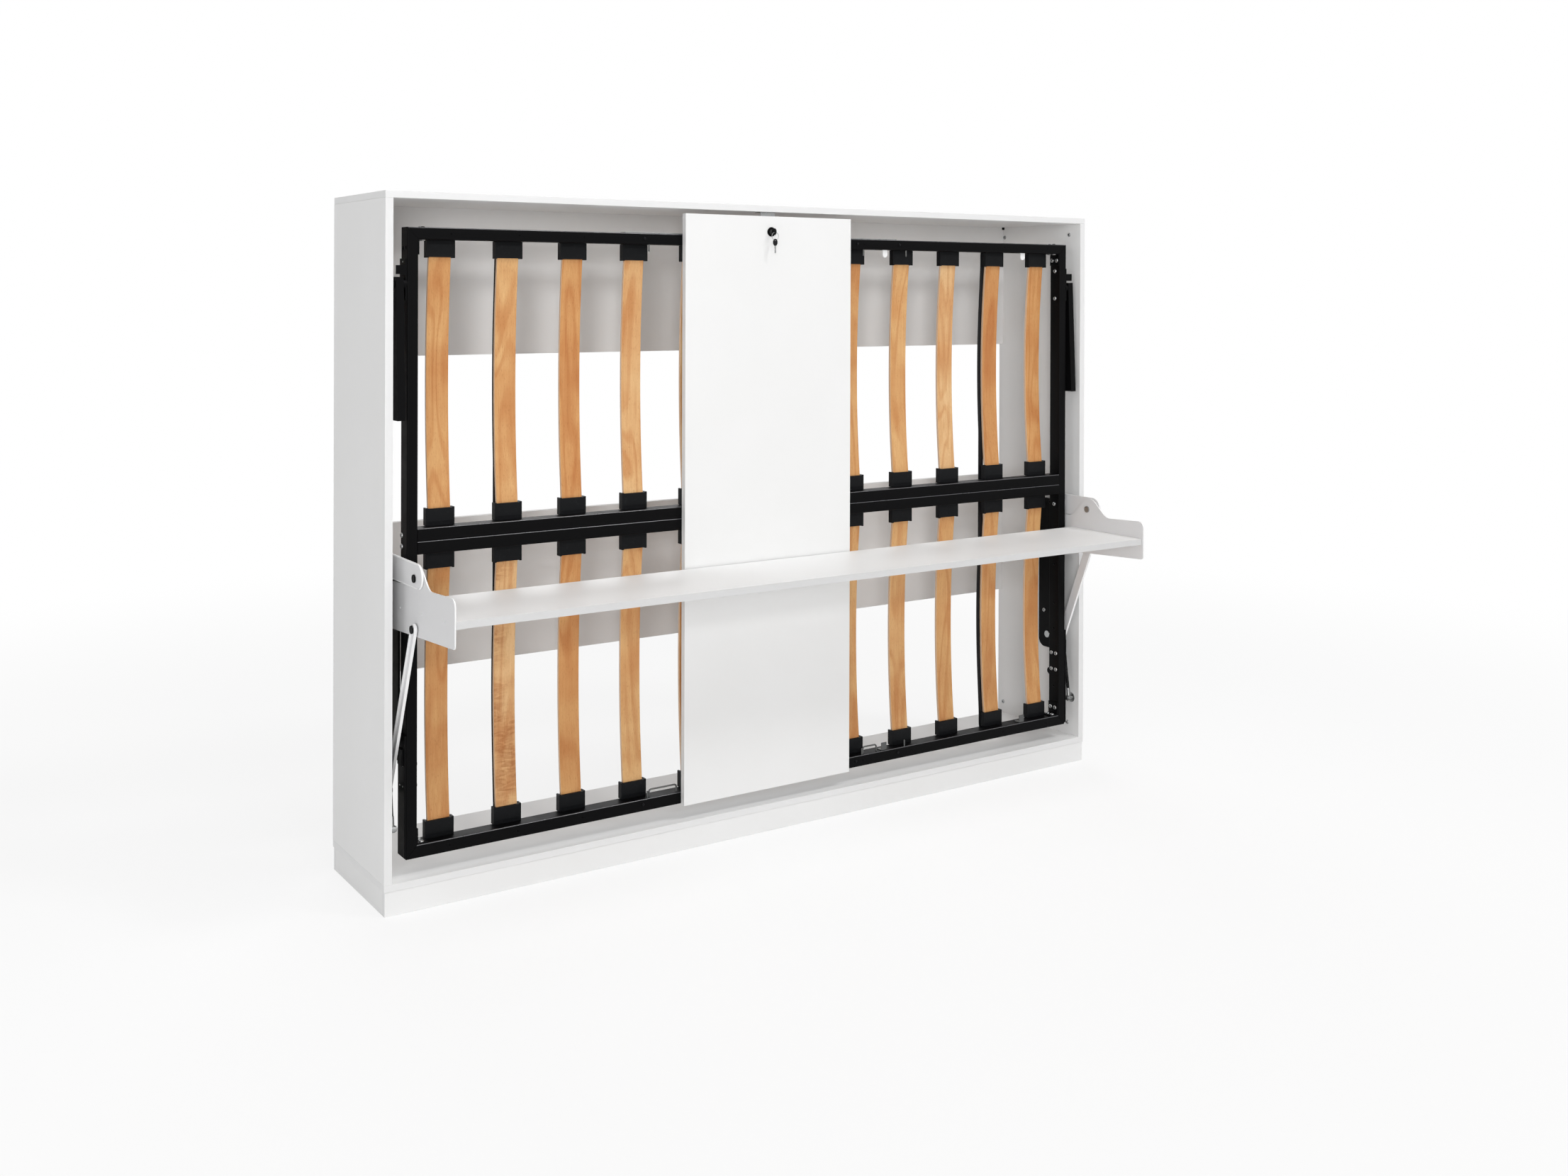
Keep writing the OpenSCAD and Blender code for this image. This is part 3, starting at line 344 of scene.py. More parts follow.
studio = {
    "ambient": 0.22,
    "target": (0, 0.1, 0.8),
    # azimuth is degrees to the right of straight in front, level is what it adds to white card facing it
    "lamps": {
        "keyRight": {"azimuth": 38, "elevation": 48, "distance": 10.0, "size": (1.6, 1.6), "level": 0.18},
        "softboxHigh": {"azimuth": -5, "elevation": 23, "distance": 10.0, "size": (2.6, 1.0), "level": 0.14},
        "softboxViewer": {"azimuth": -34, "elevation": 8, "distance": 9.0, "size": (2.4, 2.2), "level": 0.28},
        "softboxLeft": {"azimuth": -80, "elevation": 15, "distance": 9.0, "size": (6.0, 4.0), "level": 0.10},
        "softboxTop": {"azimuth": 0, "elevation": 70, "distance": 9.0, "size": (8.0, 6.0), "level": 0.40},
        "softboxRear": {"azimuth": 165, "elevation": 35, "distance": 10.0, "size": (6.0, 4.0), "level": 0.25},
    },
    "floorSize": 40.0,
    "floorPaper": "#f4f4f4",
    "shadowKept": 0.22,  # share of the lit paper in what the camera sees, the rest glows white
    "fadeFrom": 2.0,     # metres from the middle where the shadow paper turns to plain white
    "fadeTo": 4.5,
}


def shownRays(tree):
    # 1 for rays of the camera, also those that a surface mirrors or lets through
    path = addNode(tree, "ShaderNodeLightPath")
    seen = addNode(tree, "ShaderNodeMath", {"operation": "MAXIMUM", 0: path.outputs["Is Camera Ray"],
                                            1: path.outputs["Is Glossy Ray"]})
    return addNode(tree, "ShaderNodeMath", {"operation": "MAXIMUM", 0: seen,
                                            1: path.outputs["Is Transmission Ray"]})


def setWorld(ambient):
    # the world looks white and lights the object softly
    world = bpy.data.worlds.new("studioWorld")
    tree = emptyTree(world)
    white = addNode(tree, "ShaderNodeBackground", {"Color": (1, 1, 1, 1), "Strength": 1.0})
    soft = addNode(tree, "ShaderNodeBackground", {"Color": (1, 1, 1, 1), "Strength": ambient})
    mixed = addNode(tree, "ShaderNodeMixShader", {0: shownRays(tree), 1: soft, 2: white})
    addNode(tree, "ShaderNodeOutputWorld", {"Surface": mixed})
    scene.world = world


def addLamp(name, lamp, target):
    azimuth, elevation = math.radians(lamp["azimuth"]), math.radians(lamp["elevation"])
    away = Vector((math.sin(azimuth) * math.cos(elevation), -math.cos(azimuth) * math.cos(elevation),
                   math.sin(elevation)))
    data = bpy.data.lights.new(name, "AREA")
    data.shape = "RECTANGLE"
    data.size, data.size_y = lamp["size"]
    data.energy = lamp["level"] * math.pi ** 2 * lamp["distance"] ** 2
    light = bpy.data.objects.new(name, data)
    turned = (-away).to_track_quat("-Z", "Y").to_matrix().to_4x4()
    light.matrix_world = Matrix.Translation(target + away * lamp["distance"]) @ turned
    scene.collection.objects.link(light)


def layFloor(values):
    half = values["floorSize"] / 2
    mesh = bpy.data.meshes.new("floorPaper")
    corners = [(-half, -half, 0), (half, -half, 0), (half, half, 0), (-half, half, 0)]
    mesh.from_pydata(corners, [], [(0, 1, 2, 3)])
    # matt background paper: pale and even, with the object's own soft shadow near it
    material, tree = newMaterial("backgroundPaper")
    place = addNode(tree, "ShaderNodeTexCoord")
    far = addNode(tree, "ShaderNodeVectorMath", {"operation": "LENGTH", 0: place.outputs["Object"]})
    fade = addNode(tree, "ShaderNodeMapRange", {
        "interpolation_type": "SMOOTHSTEP", "From Min": values["fadeFrom"], "From Max": values["fadeTo"],
        "To Min": 1 - values["shadowKept"], "To Max": 1.0, "Value": far.outputs["Value"]})
    share = addNode(tree, "ShaderNodeMath", {"operation": "MULTIPLY", 0: shownRays(tree), 1: fade})
    paper = addNode(tree, "ShaderNodeBsdfDiffuse", {"Color": srgb(values["floorPaper"])})
    glow = addNode(tree, "ShaderNodeEmission", {"Color": (1, 1, 1, 1), "Strength": 1.0})
    mixed = addNode(tree, "ShaderNodeMixShader", {0: share, 1: paper, 2: glow})
    addNode(tree, "ShaderNodeOutputMaterial", {"Surface": mixed})
    mesh.materials.append(material)
    showPiece("floorPaper", mesh)


setWorld(studio["ambient"])
for lampName, lampValues in studio["lamps"].items():
    addLamp(lampName, lampValues, Vector(studio["target"]))
layFloor(studio)
print("camera and studio set")


def coating(name, settings, look):
    # patterns are drawn first; tones, gloss and relief each say which of them they follow
    material, tree = newMaterial(name)
    place = addNode(tree, "ShaderNodeTexCoord").outputs["Object"]
    drawn = {}
    for label, (kind, size, options) in look["patterns"].items():
        drawn[label] = addNode(tree, kind, {"Scale": 1000 / size, "Vector": place, **options})
    label, low, high, first, second = look["tones"]
    spread = addNode(tree, "ShaderNodeMapRange", {"From Min": low, "From Max": high, "Value": drawn[label]})
    tones = addNode(tree, "ShaderNodeMix", {"data_type": "RGBA", 0: spread, 6: srgb(first), 7: srgb(second)})
    label, low, high, smooth, rough = look["gloss"]
    gloss = addNode(tree, "ShaderNodeMapRange", {"From Min": low, "From Max": high, "To Min": smooth,
                                                 "To Max": rough, "Value": drawn[label]})
    label, strength, depth = look.get("relief", (None, 0, 0))
    finishMaterial(tree, settings, tones.outputs[2], gloss, drawn.get(label), (strength, depth))
    return material


def melamine(name, values):
    # melamine-faced chipboard, pressed: an even white sheet whose pearl emboss softens reflections
    rough = values["roughness"]
    return coating(name, {"IOR": 1.5, "Specular IOR Level": 0.4}, {
        "patterns": {"cloud": ("ShaderNodeTexNoise", values["cloudMm"], {"Detail": 2.0}),
                     "pearl": ("ShaderNodeTexNoise", values["pearlMm"], {"Detail": 3.0, "Roughness": 0.6})},
        "tones": ("cloud", 0.0, 1.0, values["face"], values["shade"]),
        "gloss": ("pearl", 0.3, 0.7, rough - 0.05, rough + 0.06),
        "relief": ("pearl", values["emboss"], 0.1)})


def powderCoat(name, values):
    # polyester powder coat, sprayed and baked: slightly rippled like orange peel, half matt
    rough = values["roughness"]
    return coating(name, {"IOR": 1.5, "Specular IOR Level": values["shine"]}, {
        "patterns": {"peel": ("ShaderNodeTexVoronoi", values["peelMm"],
                              {"feature": "SMOOTH_F1", "Smoothness": 1.0}),
                     "film": ("ShaderNodeTexNoise", values["filmMm"], {"Detail": 4.0, "Roughness": 0.6})},
        "tones": ("film", 0.0, 1.0, values["thin"], values["full"]),
        "gloss": ("film", 0.3, 0.7, rough - 0.05, rough + 0.07),
        "relief": ("peel", values["peel"], 0.08)})


def zincPlate(name, values):
    # bright zinc plating on steel: cool grey metal, a little cloudy
    rough = values["roughness"]
    return coating(name, {"Metallic": 1.0}, {
        "patterns": {"cloud": ("ShaderNodeTexNoise", values["cloudMm"], {"Detail": 3.0})},
        "tones": ("cloud", 0.0, 1.0, values["cool"], values["warm"]),
        "gloss": ("cloud", 0.3, 0.7, rough - 0.08, rough + 0.1)})


def mouldedPlastic(name, values):
    # injection-moulded plastic with a spark-eroded texture, scuffed a little where it is handled
    rough = values["roughness"]
    return coating(name, {"IOR": 1.49, "Specular IOR Level": values["shine"]}, {
        "patterns": {"grit": ("ShaderNodeTexNoise", values["gritMm"], {"Detail": 2.0}),
                     "scuff": ("ShaderNodeTexNoise", values["scuffMm"],
                               {"Detail": 5.0, "Roughness": 0.7, "Distortion": 0.6})},
        "tones": ("scuff", 0.55, 0.75, values["full"], values["worn"]),
        "gloss": ("scuff", 0.55, 0.75, rough, rough + 0.12),
        "relief": ("grit", values["grit"], 0.1)})


def beechPlywood(name, values):
    # steamed beech, rotary cut and pressed into bowed slats: warm orange tan, long fine grain, short flecks,
    # now and then a curly figure, and pale ply edges
    material, tree = newMaterial(name)
    place = addNode(tree, "ShaderNodeTexCoord")
    drawn = {}
    for label in ("tone", "curl", "depthIn"):
        drawn[label] = addNode(tree, "ShaderNodeAttribute", {"attribute_name": label}).outputs["Fac"]
    # each slat's own numbers take it to its own stretch of the wood
    apart = addNode(tree, "ShaderNodeCombineXYZ", {"X": drawn["tone"], "Z": drawn["curl"]})
    apart = addNode(tree, "ShaderNodeVectorMath", {"operation": "SCALE", 0: apart, "Scale": values["apart"]})
    spot = addNode(tree, "ShaderNodeVectorMath", {"operation": "ADD", 0: place.outputs["Object"], 1: apart})
    for label, (wide, long, options) in values["patterns"].items():
        stretched = addNode(tree, "ShaderNodeMapping", {
            "vector_type": "POINT", "Scale": (1000 / wide, 1000 / wide, 1000 / long), "Vector": spot})
        drawn[label] = addNode(tree, "ShaderNodeTexNoise", {"Scale": 1.0, "Vector": stretched, **options})
    # level lines of a stretched noise draw the cathedral figure of a rotary cut
    climbs = addNode(tree, "ShaderNodeMath", {"operation": "MULTIPLY", 0: drawn["figure"],
                                              1: math.tau * values["figureLines"]})
    drawn["figure"] = addNode(tree, "ShaderNodeMath", {"operation": "SINE", 0: climbs})
    wood = addNode(tree, "ShaderNodeValToRGB", {"Fac": drawn["tone"]})
    ramp, tones = wood.color_ramp, values["tones"]
    while len(ramp.elements) < len(tones):
        ramp.elements.new(0.5)
    for step, (element, tone) in enumerate(zip(ramp.elements, tones)):
        element.position = step / (len(tones) - 1)
        element.color = srgb(tone)
    colour = wood.outputs["Color"]
    for tint, parts in values["layers"]:
        share = None
        for label, low, high, depth in parts:
            part = addNode(tree, "ShaderNodeMapRange", {"From Min": low, "From Max": high, "To Max": depth,
                                                        "Value": drawn[label]})
            both = {"operation": "MULTIPLY", 0: share, 1: part}
            share = addNode(tree, "ShaderNodeMath", both) if share else part
        colour = addNode(tree, "ShaderNodeMix", {"data_type": "RGBA", "blend_type": "MULTIPLY", 0: share,
                                                 6: colour, 7: srgb(tint)}).outputs[2]
    # pale plies with fine glue lines on the narrow sides
    split = addNode(tree, "ShaderNodeSeparateXYZ", {0: place.outputs["Normal"]})
    sideways = addNode(tree, "ShaderNodeMath", {"operation": "ABSOLUTE", 0: split.outputs["X"]})
    onSide = addNode(tree, "ShaderNodeMapRange", {"From Min": 0.55, "From Max": 0.8, "Value": sideways})
    layers = addNode(tree, "ShaderNodeMath", {"operation": "MULTIPLY", 0: drawn["depthIn"],
                                              1: math.tau * 1000 / values["plyMm"]})
    lines = addNode(tree, "ShaderNodeMath", {"operation": "COSINE", 0: layers})
    glue = addNode(tree, "ShaderNodeMapRange", {"From Min": 0.7, "From Max": 1.0, "Value": lines})
    plies = addNode(tree, "ShaderNodeMix", {"data_type": "RGBA", 0: glue, 6: srgb(values["ply"]),
                                            7: srgb(values["glue"])})
    whole = addNode(tree, "ShaderNodeMix", {"data_type": "RGBA", 0: onSide, 6: colour, 7: plies.outputs[2]})
    gloss = addNode(tree, "ShaderNodeMapRange", {
        "From Min": 0.3, "From Max": 0.7, "To Min": values["roughness"] - 0.06,
        "To Max": values["roughness"] + 0.08, "Value": drawn["grain"]})
    finishMaterial(tree, {"IOR": 1.5, "Specular IOR Level": 0.35}, whole.outputs[2], gloss, drawn["grain"],
                   values["relief"])
    return material


def wovenWebbing(name, values):
    # black polypropylene webbing, woven: ribs across the width in a herringbone, a soft dull shine
    material, tree = newMaterial(name)
    laid = addNode(tree, "ShaderNodeUVMap", {"uv_map": "strapRun"})
    split = addNode(tree, "ShaderNodeSeparateXYZ", {0: laid})
    fold = addNode(tree, "ShaderNodeMath", {"operation": "PINGPONG", 0: split.outputs["X"],
                                            1: values["chevronMm"] * mm})
    climb = addNode(tree, "ShaderNodeMath", {"operation": "ADD", 0: split.outputs["Y"], 1: fold})
    turns = addNode(tree, "ShaderNodeMath", {"operation": "MULTIPLY", 0: climb,
                                             1: math.tau * 1000 / values["ribMm"]})
    ribs = addNode(tree, "ShaderNodeMath", {"operation": "SINE", 0: turns})
    colour = addNode(tree, "ShaderNodeMix", {"data_type": "RGBA", 0: ribs, 6: srgb(values["low"]),
                                             7: srgb(values["high"])})
    finishMaterial(tree, {"IOR": 1.5, "Specular IOR Level": 0.25, "Roughness": 0.62}, colour.outputs[2],
                   height=ribs, relief=(0.5, 0.25))
    return material


whiteBoard = melamine("melamineBoard", {
    "face": "#ededed", "shade": "#e8e8e7", "pearlMm": 2.4, "cloudMm": 240, "roughness": 0.44,
    "emboss": 0.10})  # real emboss is under 1 mm, drawn coarser to show
edging = {"face": "#e6e6e6", "shade": "#e2e2e2", "pearlMm": 5, "cloudMm": 90, "roughness": 0.36,
          "emboss": 0.05}
edgeBand = melamine("absEdging", edging)
# painted shade: the desk's edging is a darker copy of the edging, standing in for the shade on its front edge
# below the lit top
deskEdgeShaded = melamine("absEdgingGrey", {**edging, "face": "#d2d2d2", "shade": "#cecece"})
coat = {"peelMm": 1.8, "filmMm": 60}
blackCoat = powderCoat("powderCoatBlack", {
    **coat, "thin": "#0a0a0b", "full": "#070708", "shine": 0.06, "roughness": 0.42, "peel": 0.25})
# painted highlight: the upper front corner of each tube is painted a lighter, glossier grey than the black
# coat, standing in for the fine line of light it catches
cornerHighlightCoat = powderCoat("powderCoatCorner", {
    **coat, "thin": "#4c4c50", "full": "#404044", "shine": 0.8, "roughness": 0.25, "peel": 0.15})
whiteCoat = powderCoat("powderCoatWhite", {
    **coat, "thin": "#dbdbdc", "full": "#e1e1e2", "shine": 0.40, "roughness": 0.38, "peel": 0.25})
# painted highlight: the rims of the white pressings are painted paler and glossier than their sides, standing
# in for the light their edges catch
rimHighlightCoat = powderCoat("powderCoatWhiteRim", {
    **coat, "thin": "#f0f0f0", "full": "#f4f4f4", "shine": 0.5, "roughness": 0.30, "peel": 0.1})
strutBlack = powderCoat("strutEnamel", {
    "thin": "#101011", "full": "#0a0a0b", "shine": 0.16, "roughness": 0.26, "peelMm": 3.0, "filmMm": 40,
    "peel": 0.08})
greySteel = zincPlate("galvanisedSteel", {
    "cool": "#5b5e62", "warm": "#676661", "roughness": 0.42, "cloudMm": 5})
# painted shade: a darker, duller zinc laid inside the bolts' hexagon sockets, standing in for the shade in
# them; the lock's core takes it too
dullZincAndSocketShade = zincPlate("zincInSockets", {
    "cool": "#3c3e42", "warm": "#45443f", "roughness": 0.6, "cloudMm": 6})
brightZinc = zincPlate("zincPlatedSteel", {
    "cool": "#9a9ea3", "warm": "#a6a5a0", "roughness": 0.32, "cloudMm": 6})
blackMoulding = mouldedPlastic("mouldedPolypropylene", {
    "full": "#0f1012", "worn": "#1b1c1e", "shine": 0.12, "roughness": 0.46, "gritMm": 1.4, "scuffMm": 12,
    "grit": 0.3})
whiteMoulding = mouldedPlastic("mouldedNylon", {
    "full": "#eeeeee", "worn": "#e6e6e4", "shine": 0.4, "roughness": 0.42, "gritMm": 1.4, "scuffMm": 12,
    "grit": 0.2})
slatBeech = beechPlywood("beechPlywood", {
    "tones": ("#cf9a62", "#d7a66d", "#deb37c", "#e6c393"), "ply": "#e3c2a4", "glue": "#c09a76",
    "plyMm": 1.15, "roughness": 0.5, "figureLines": 5, "apart": 9.0, "relief": (0.12, 0.1),
    "patterns": {  # size across and along the slat in mm
        "grain": (2.6, 260, {"Detail": 4.0, "Roughness": 0.62, "Distortion": 0.3}),
        "fleck": (1.3, 9, {"Detail": 1.0}),
        "figure": (60, 420, {"Detail": 1.0, "Distortion": 0.5}),
        "blotch": (110, 110, {"Detail": 2.0}),
        "ripple": (34, 10, {"Detail": 2.0, "Distortion": 1.2})},
    "layers": (  # a tint, and the patterns that lay it on: from, to and most
        ("#d9ae80", (("grain", 0.3, 0.7, 0.35),)),
        ("#dcb287", (("figure", -0.2, 1.0, 0.4),)),
        ("#b98a5c", (("fleck", 0.60, 0.72, 0.3),)),
        ("#ddb184", (("blotch", 0.35, 0.7, 0.5),)),
        ("#c3986a", (("curl", 0.72, 0.95, 0.55), ("blotch", 0.42, 0.58, 1.0), ("ripple", 0.38, 0.66, 1.0))))})
strapWebbing = wovenWebbing("polypropyleneWebbing", {
    "low": "#0c0c0e", "high": "#1b1b1e", "ribMm": 2.6, "chevronMm": 4.5})  # real ribs are 1.3 mm
print("materials made")


boards = {
    "easing": 1.2,
    # with the axis of each board's thickness: 0 across, 1 front to back, 2 up
    "pieces": (
        ("cabinetTopBoard", "cabinet_top_panel", 2),
        ("cabinetBottomBoard", "cabinet_bottom_panel", 2),
        ("cabinetSideLeft", "cabinet_left_side", 0),
        ("cabinetSideRight", "cabinet_right_side", 0),
        ("plinthFront", "plinth_front_board", 1),
        ("plinthRear", "plinth_rear_board", 1),
        ("plinthEnds", "plinth_side_boards", 0),
        ("backBoardUpper", "upper_back_board", 1),
        ("backBoardMiddle", "middle_back_board", 1),
        ("closingPanel", "front_panel", 1),
        ("deskTop", "desk_board", 2),
    ),
}
for pieceName, nodeName, thin in boards["pieces"]:
    board = easedCopy(nodeName, pieceName, boards["easing"])
    # painted shade: the desk board's edges take the darker copy of the edging
    edge = deskEdgeShaded if nodeName == "desk_board" else edgeBand
    paint(board, whiteBoard, edge, pick=lambda face: int(abs(face.normal[thin]) < 0.5))
    settle(board, "white_board", nodeName)
print("boards made")


slatRow = {"count": 12, "pitch": 165.4545, "width": 53, "thickness": 8, "length": 636.6, "bow": 18,
           "rounding": 1.3, "endY": 17.5, "steps": 40,
           # piece: node, height of the row's middle, seed
           "rows": {"slatsUpper": ("upper_slats", 1162.5, 3407), "slatsLower": ("lower_slats", 463.5, 995)}}
slatPlaces = [(i - (slatRow["count"] - 1) / 2) * slatRow["pitch"] for i in range(slatRow["count"])]
tubes = {
    "corner": 2.5,      # outside radius of the tube's corners
    "cornerSteps": 5,
    "wall": 1.5,
    "seam": 0.35,       # gap on each side of a mitre
    "holeDepth": 5,
    "pilot": 1.3,       # radius of the small holes beside each slat
    "pilotRight": 14,   # how far they sit to the right of a slat's middle
    "pilotRows": {"frame_top_tube": 1498.5, "frame_bottom_tube": 124.5},
    "frontY": -16.5,
    "sideHole": 2.5,    # radius and heights of the holes in the upright tubes' inner faces
    "sideHoles": (578, 464, 390, 221),
    "sideHoleY": 3.5,
    "innerX": 973,
    # axes of the length and of the visible height; side where the outer face is; mm that it is drawn deeper
    # than its solid, down and up, as the photo shows it; face of the tube that each mitred end meets
    "pieces": (
        ("frameTubeTop", "frame_top_tube", 0, 2, 1, (2, 0), (25, 25)),
        ("frameTubeBottom", "frame_bottom_tube", 0, 2, -1, (4, 0), (25, 25)),
        ("frameTubeLeft", "frame_left_tube", 2, 0, -1, (4, 0), (29, 27)),
        ("frameTubeRight", "frame_right_tube", 2, 0, 1, (4, 0), (29, 27)),
        ("middleRailUpper", "middle_rail_upper", 0, 2, 1, (0, 4), None),
        ("middleRailLower", "middle_rail_lower", 0, 2, -1, (4, 0), None),
    ),
}


def roundedLoop(wide, tall, radius, steps):
    loop = []
    for quarter, (sx, sy) in enumerate(((1, 1), (-1, 1), (-1, -1), (1, -1))):
        for step in range(steps + 1):
            angle = math.pi / 2 * (quarter + step / steps)
            loop.append((sx * (wide / 2 - radius) + radius * math.cos(angle),
                         sy * (tall / 2 - radius) + radius * math.sin(angle)))
    return loop


def hollowTube(pieceName, nodeName, run, face, side, deeper, meets):
    low, high = (Vector(corner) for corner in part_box(nodeName))
    low.z -= deeper[0] * mm
    high.z += deeper[1] * mm
    size = high - low
    outer = high[face] if side > 0 else low[face]
    shape = bmesh.new()
    rings = []
    # out along the outside and back along the inside
    for inset, ends in ((0, (0, 1)), (tubes["wall"] * mm, (1, 0))):
        loop = roundedLoop(size[1] - 2 * inset, size[face] - 2 * inset, tubes["corner"] * mm - inset,
                           tubes["cornerSteps"])
        for end in ends:
            ring = []
            for s, t in loop:
                place = (low + high) / 2
                place[1] += s
                place[face] += t
                back = 0
                if meets:
                    back = abs(outer - place[face]) * meets[end] * mm / size[face] + tubes["seam"] * mm
                place[run] = high[run] - back if end else low[run] + back
                ring.append(shape.verts.new(place))
            rings.append(ring)
    skinRings(shape, rings, around=True)
    return bmeshPiece(pieceName, shape)


for pieceName, nodeName, run, face, side, deeper, meets in tubes["pieces"]:
    tube = hollowTube(pieceName, nodeName, run, face, side, deeper, meets)
    holes = []
    if nodeName in tubes["pilotRows"]:
        level, axis, radius = tubes["pilotRows"][nodeName], 1, tubes["pilot"]
        holes = [(x + tubes["pilotRight"], tubes["frontY"], level) for x in slatPlaces]
    if run == 2:
        axis, radius = 0, tubes["sideHole"]
        holes = [(side * tubes["innerX"], tubes["sideHoleY"], z) for z in tubes["sideHoles"]]
    if holes:
        drill(tube, [(middle, axis, radius, tubes["holeDepth"]) for middle in holes])
    smoothFaces(tube)
    # painted highlight: faces on the tube's upper front corner take the lighter corner coat
    paint(tube, blackCoat, cornerHighlightCoat, pick=lambda face: int(face.normal.z > 0.25 and face.normal.y < -0.25))
    settle(tube, "black_steel", nodeName)
print("tubes made")


def slatTree():
    # a bowed slat, swept along an arc and stood up, on every point of a row, with its own tone and curl
    tree, given = newTree("slatRowTree", (
        ("Count", "Int"), ("Pitch", "Float"), ("Length", "Float"), ("Width", "Float"), ("Thickness", "Float"),
        ("Bow", "Float"), ("Rounding", "Float"), ("Steps", "Int"), ("Place", "Vector"), ("Seed", "Int"),
        ("Material", "Material")))
    half = addNode(tree, "ShaderNodeMath", {"operation": "MULTIPLY", 0: given["Length"], 1: 0.5})
    less = addNode(tree, "ShaderNodeMath", {"operation": "MULTIPLY", 0: given["Length"], 1: -0.5})
    start = addNode(tree, "ShaderNodeCombineXYZ", {"X": less})
    crown = addNode(tree, "ShaderNodeCombineXYZ", {"Y": given["Bow"]})
    end = addNode(tree, "ShaderNodeCombineXYZ", {"X": half})
    bow = addNode(tree, "GeometryNodeCurveArc", {"mode": "POINTS", "Resolution": given["Steps"],
                                                 "Start": start, "Middle": crown, "End": end})
    section = addNode(tree, "GeometryNodeCurvePrimitiveQuadrilateral", {
        "mode": "RECTANGLE", "Width": given["Thickness"], "Height": given["Width"]})
    rounded = addNode(tree, "GeometryNodeFilletCurve", {"mode": "POLY", "Count": 3, "Curve": section,
                                                        "Radius": given["Rounding"]})
    across = addNode(tree, "ShaderNodeSeparateXYZ", {0: addNode(tree, "GeometryNodeInputPosition")})
    layered = addNode(tree, "GeometryNodeStoreNamedAttribute", {
        "data_type": "FLOAT", "domain": "POINT", "Name": "depthIn", "Geometry": rounded,
        "Value": across.outputs["X"]})
    slat = addNode(tree, "GeometryNodeCurveToMesh", {"Fill Caps": True, "Curve": bow,
                                                     "Profile Curve": layered})
    upright = addNode(tree, "GeometryNodeTransform", {"Rotation": (0, -math.pi / 2, 0), "Geometry": slat})
    row = addNode(tree, "GeometryNodeInstanceOnPoints", {"Points": evenLine(tree, given),
                                                         "Instance": upright})
    curlSeed = addNode(tree, "ShaderNodeMath", {"operation": "ADD", 0: given["Seed"], 1: 40.0})
    for label, seed in (("tone", given["Seed"]), ("curl", curlSeed)):
        number = addNode(tree, "FunctionNodeRandomValue", {"data_type": "FLOAT", "Seed": seed})
        row = addNode(tree, "GeometryNodeStoreNamedAttribute", {
            "data_type": "FLOAT", "domain": "INSTANCE", "Name": label, "Geometry": row,
            "Value": number.outputs[1]})
    addNode(tree, "NodeGroupOutput", {0: dressInstances(tree, row, given["Material"])})
    return tree


slats = slatTree()
for pieceName, (nodeName, level, seed) in slatRow["rows"].items():
    row = growPiece(slats, pieceName, {
        "Count": slatRow["count"], "Pitch": slatRow["pitch"] * mm, "Length": slatRow["length"] * mm,
        "Width": slatRow["width"] * mm, "Thickness": slatRow["thickness"] * mm, "Bow": slatRow["bow"] * mm,
        "Rounding": slatRow["rounding"] * mm, "Steps": slatRow["steps"],
        "Place": (0, slatRow["endY"] * mm, level * mm), "Seed": seed, "Material": slatBeech})
    smoothFaces(row)
    settle(row, "beech", nodeName)


upright, flipped = (0, 0, 0), (0, math.pi, 0)
holder = {
    "width": 68, "height": 40, "depth": 17,
    "ear": 4.5,           # width of the small ears beside the mouth, and how far they stand up
    "earRise": 1.6,
    "easing": 0.7,
    "frontY": 10.5,
    "neck": 9,            # height of the shallow step beside the tube
    "neckBack": 0.7,
    "foot": 5.0,          # width left standing at each side of the step
    "mouth": 6,           # depth of the opening that takes the slat, and its size front to back
    "mouthThick": 9.0,
    "mouthY": 10.6,
    "slatSlack": 0.6,
    "past": 1,            # what a cut runs past the face that it opens
    "marks": ((9, 27, 0.9), (12, 27.6, 0.6), (-1.5, 17, 0.8), (-1.5, 12, 0.8)),  # gate marks: x, z, radius
    "markDeep": 0.4,
    # piece: node, and for each row where its feet stand and which way up it is
    "rows": {
        "holdersTop": ("top_slat_holders", ((1485, flipped),)),
        "holdersRails": ("rail_slat_holders", ((842, upright), (784, flipped))),
        "holdersBottom": ("bottom_slat_holders", ((139, upright),)),
    },
}


def holderTemplate():
    # cap standing on z = 0 with its mouth up, its front on y = 0
    wide, tall = holder["width"] / 2, holder["height"]
    ear, rise, past = holder["ear"], holder["earRise"], holder["past"]
    right = [(wide, 0), (wide, tall), (wide - ear, tall), (wide - ear - rise, tall - rise)]
    cap = prism("holderCap", right + [(-x, z) for x, z in reversed(right)], 1, 0, holder["depth"])
    easeEdges(cap, holder["easing"])
    # opening for the slat, the shallow step beside the tube with its feet left standing, and the gate marks
    shape = bmesh.new()
    addBlock(shape, (0, holder["mouthY"], tall - holder["mouth"] / 2 + past),
             (slatRow["width"] + holder["slatSlack"], holder["mouthThick"], holder["mouth"] + 2 * past))
    addBlock(shape, (0, 0, holder["neck"] / 2 - past),
             (holder["width"] - 2 * holder["foot"], 2 * holder["neckBack"], holder["neck"] + 2 * past))
    for x, z, radius in holder["marks"]:
        addRod(shape, (x * mm, 0, z * mm), 1, radius, 2 * holder["markDeep"], 8)
    cutAway(cap, shape)
    smoothFaces(cap)
    return cap


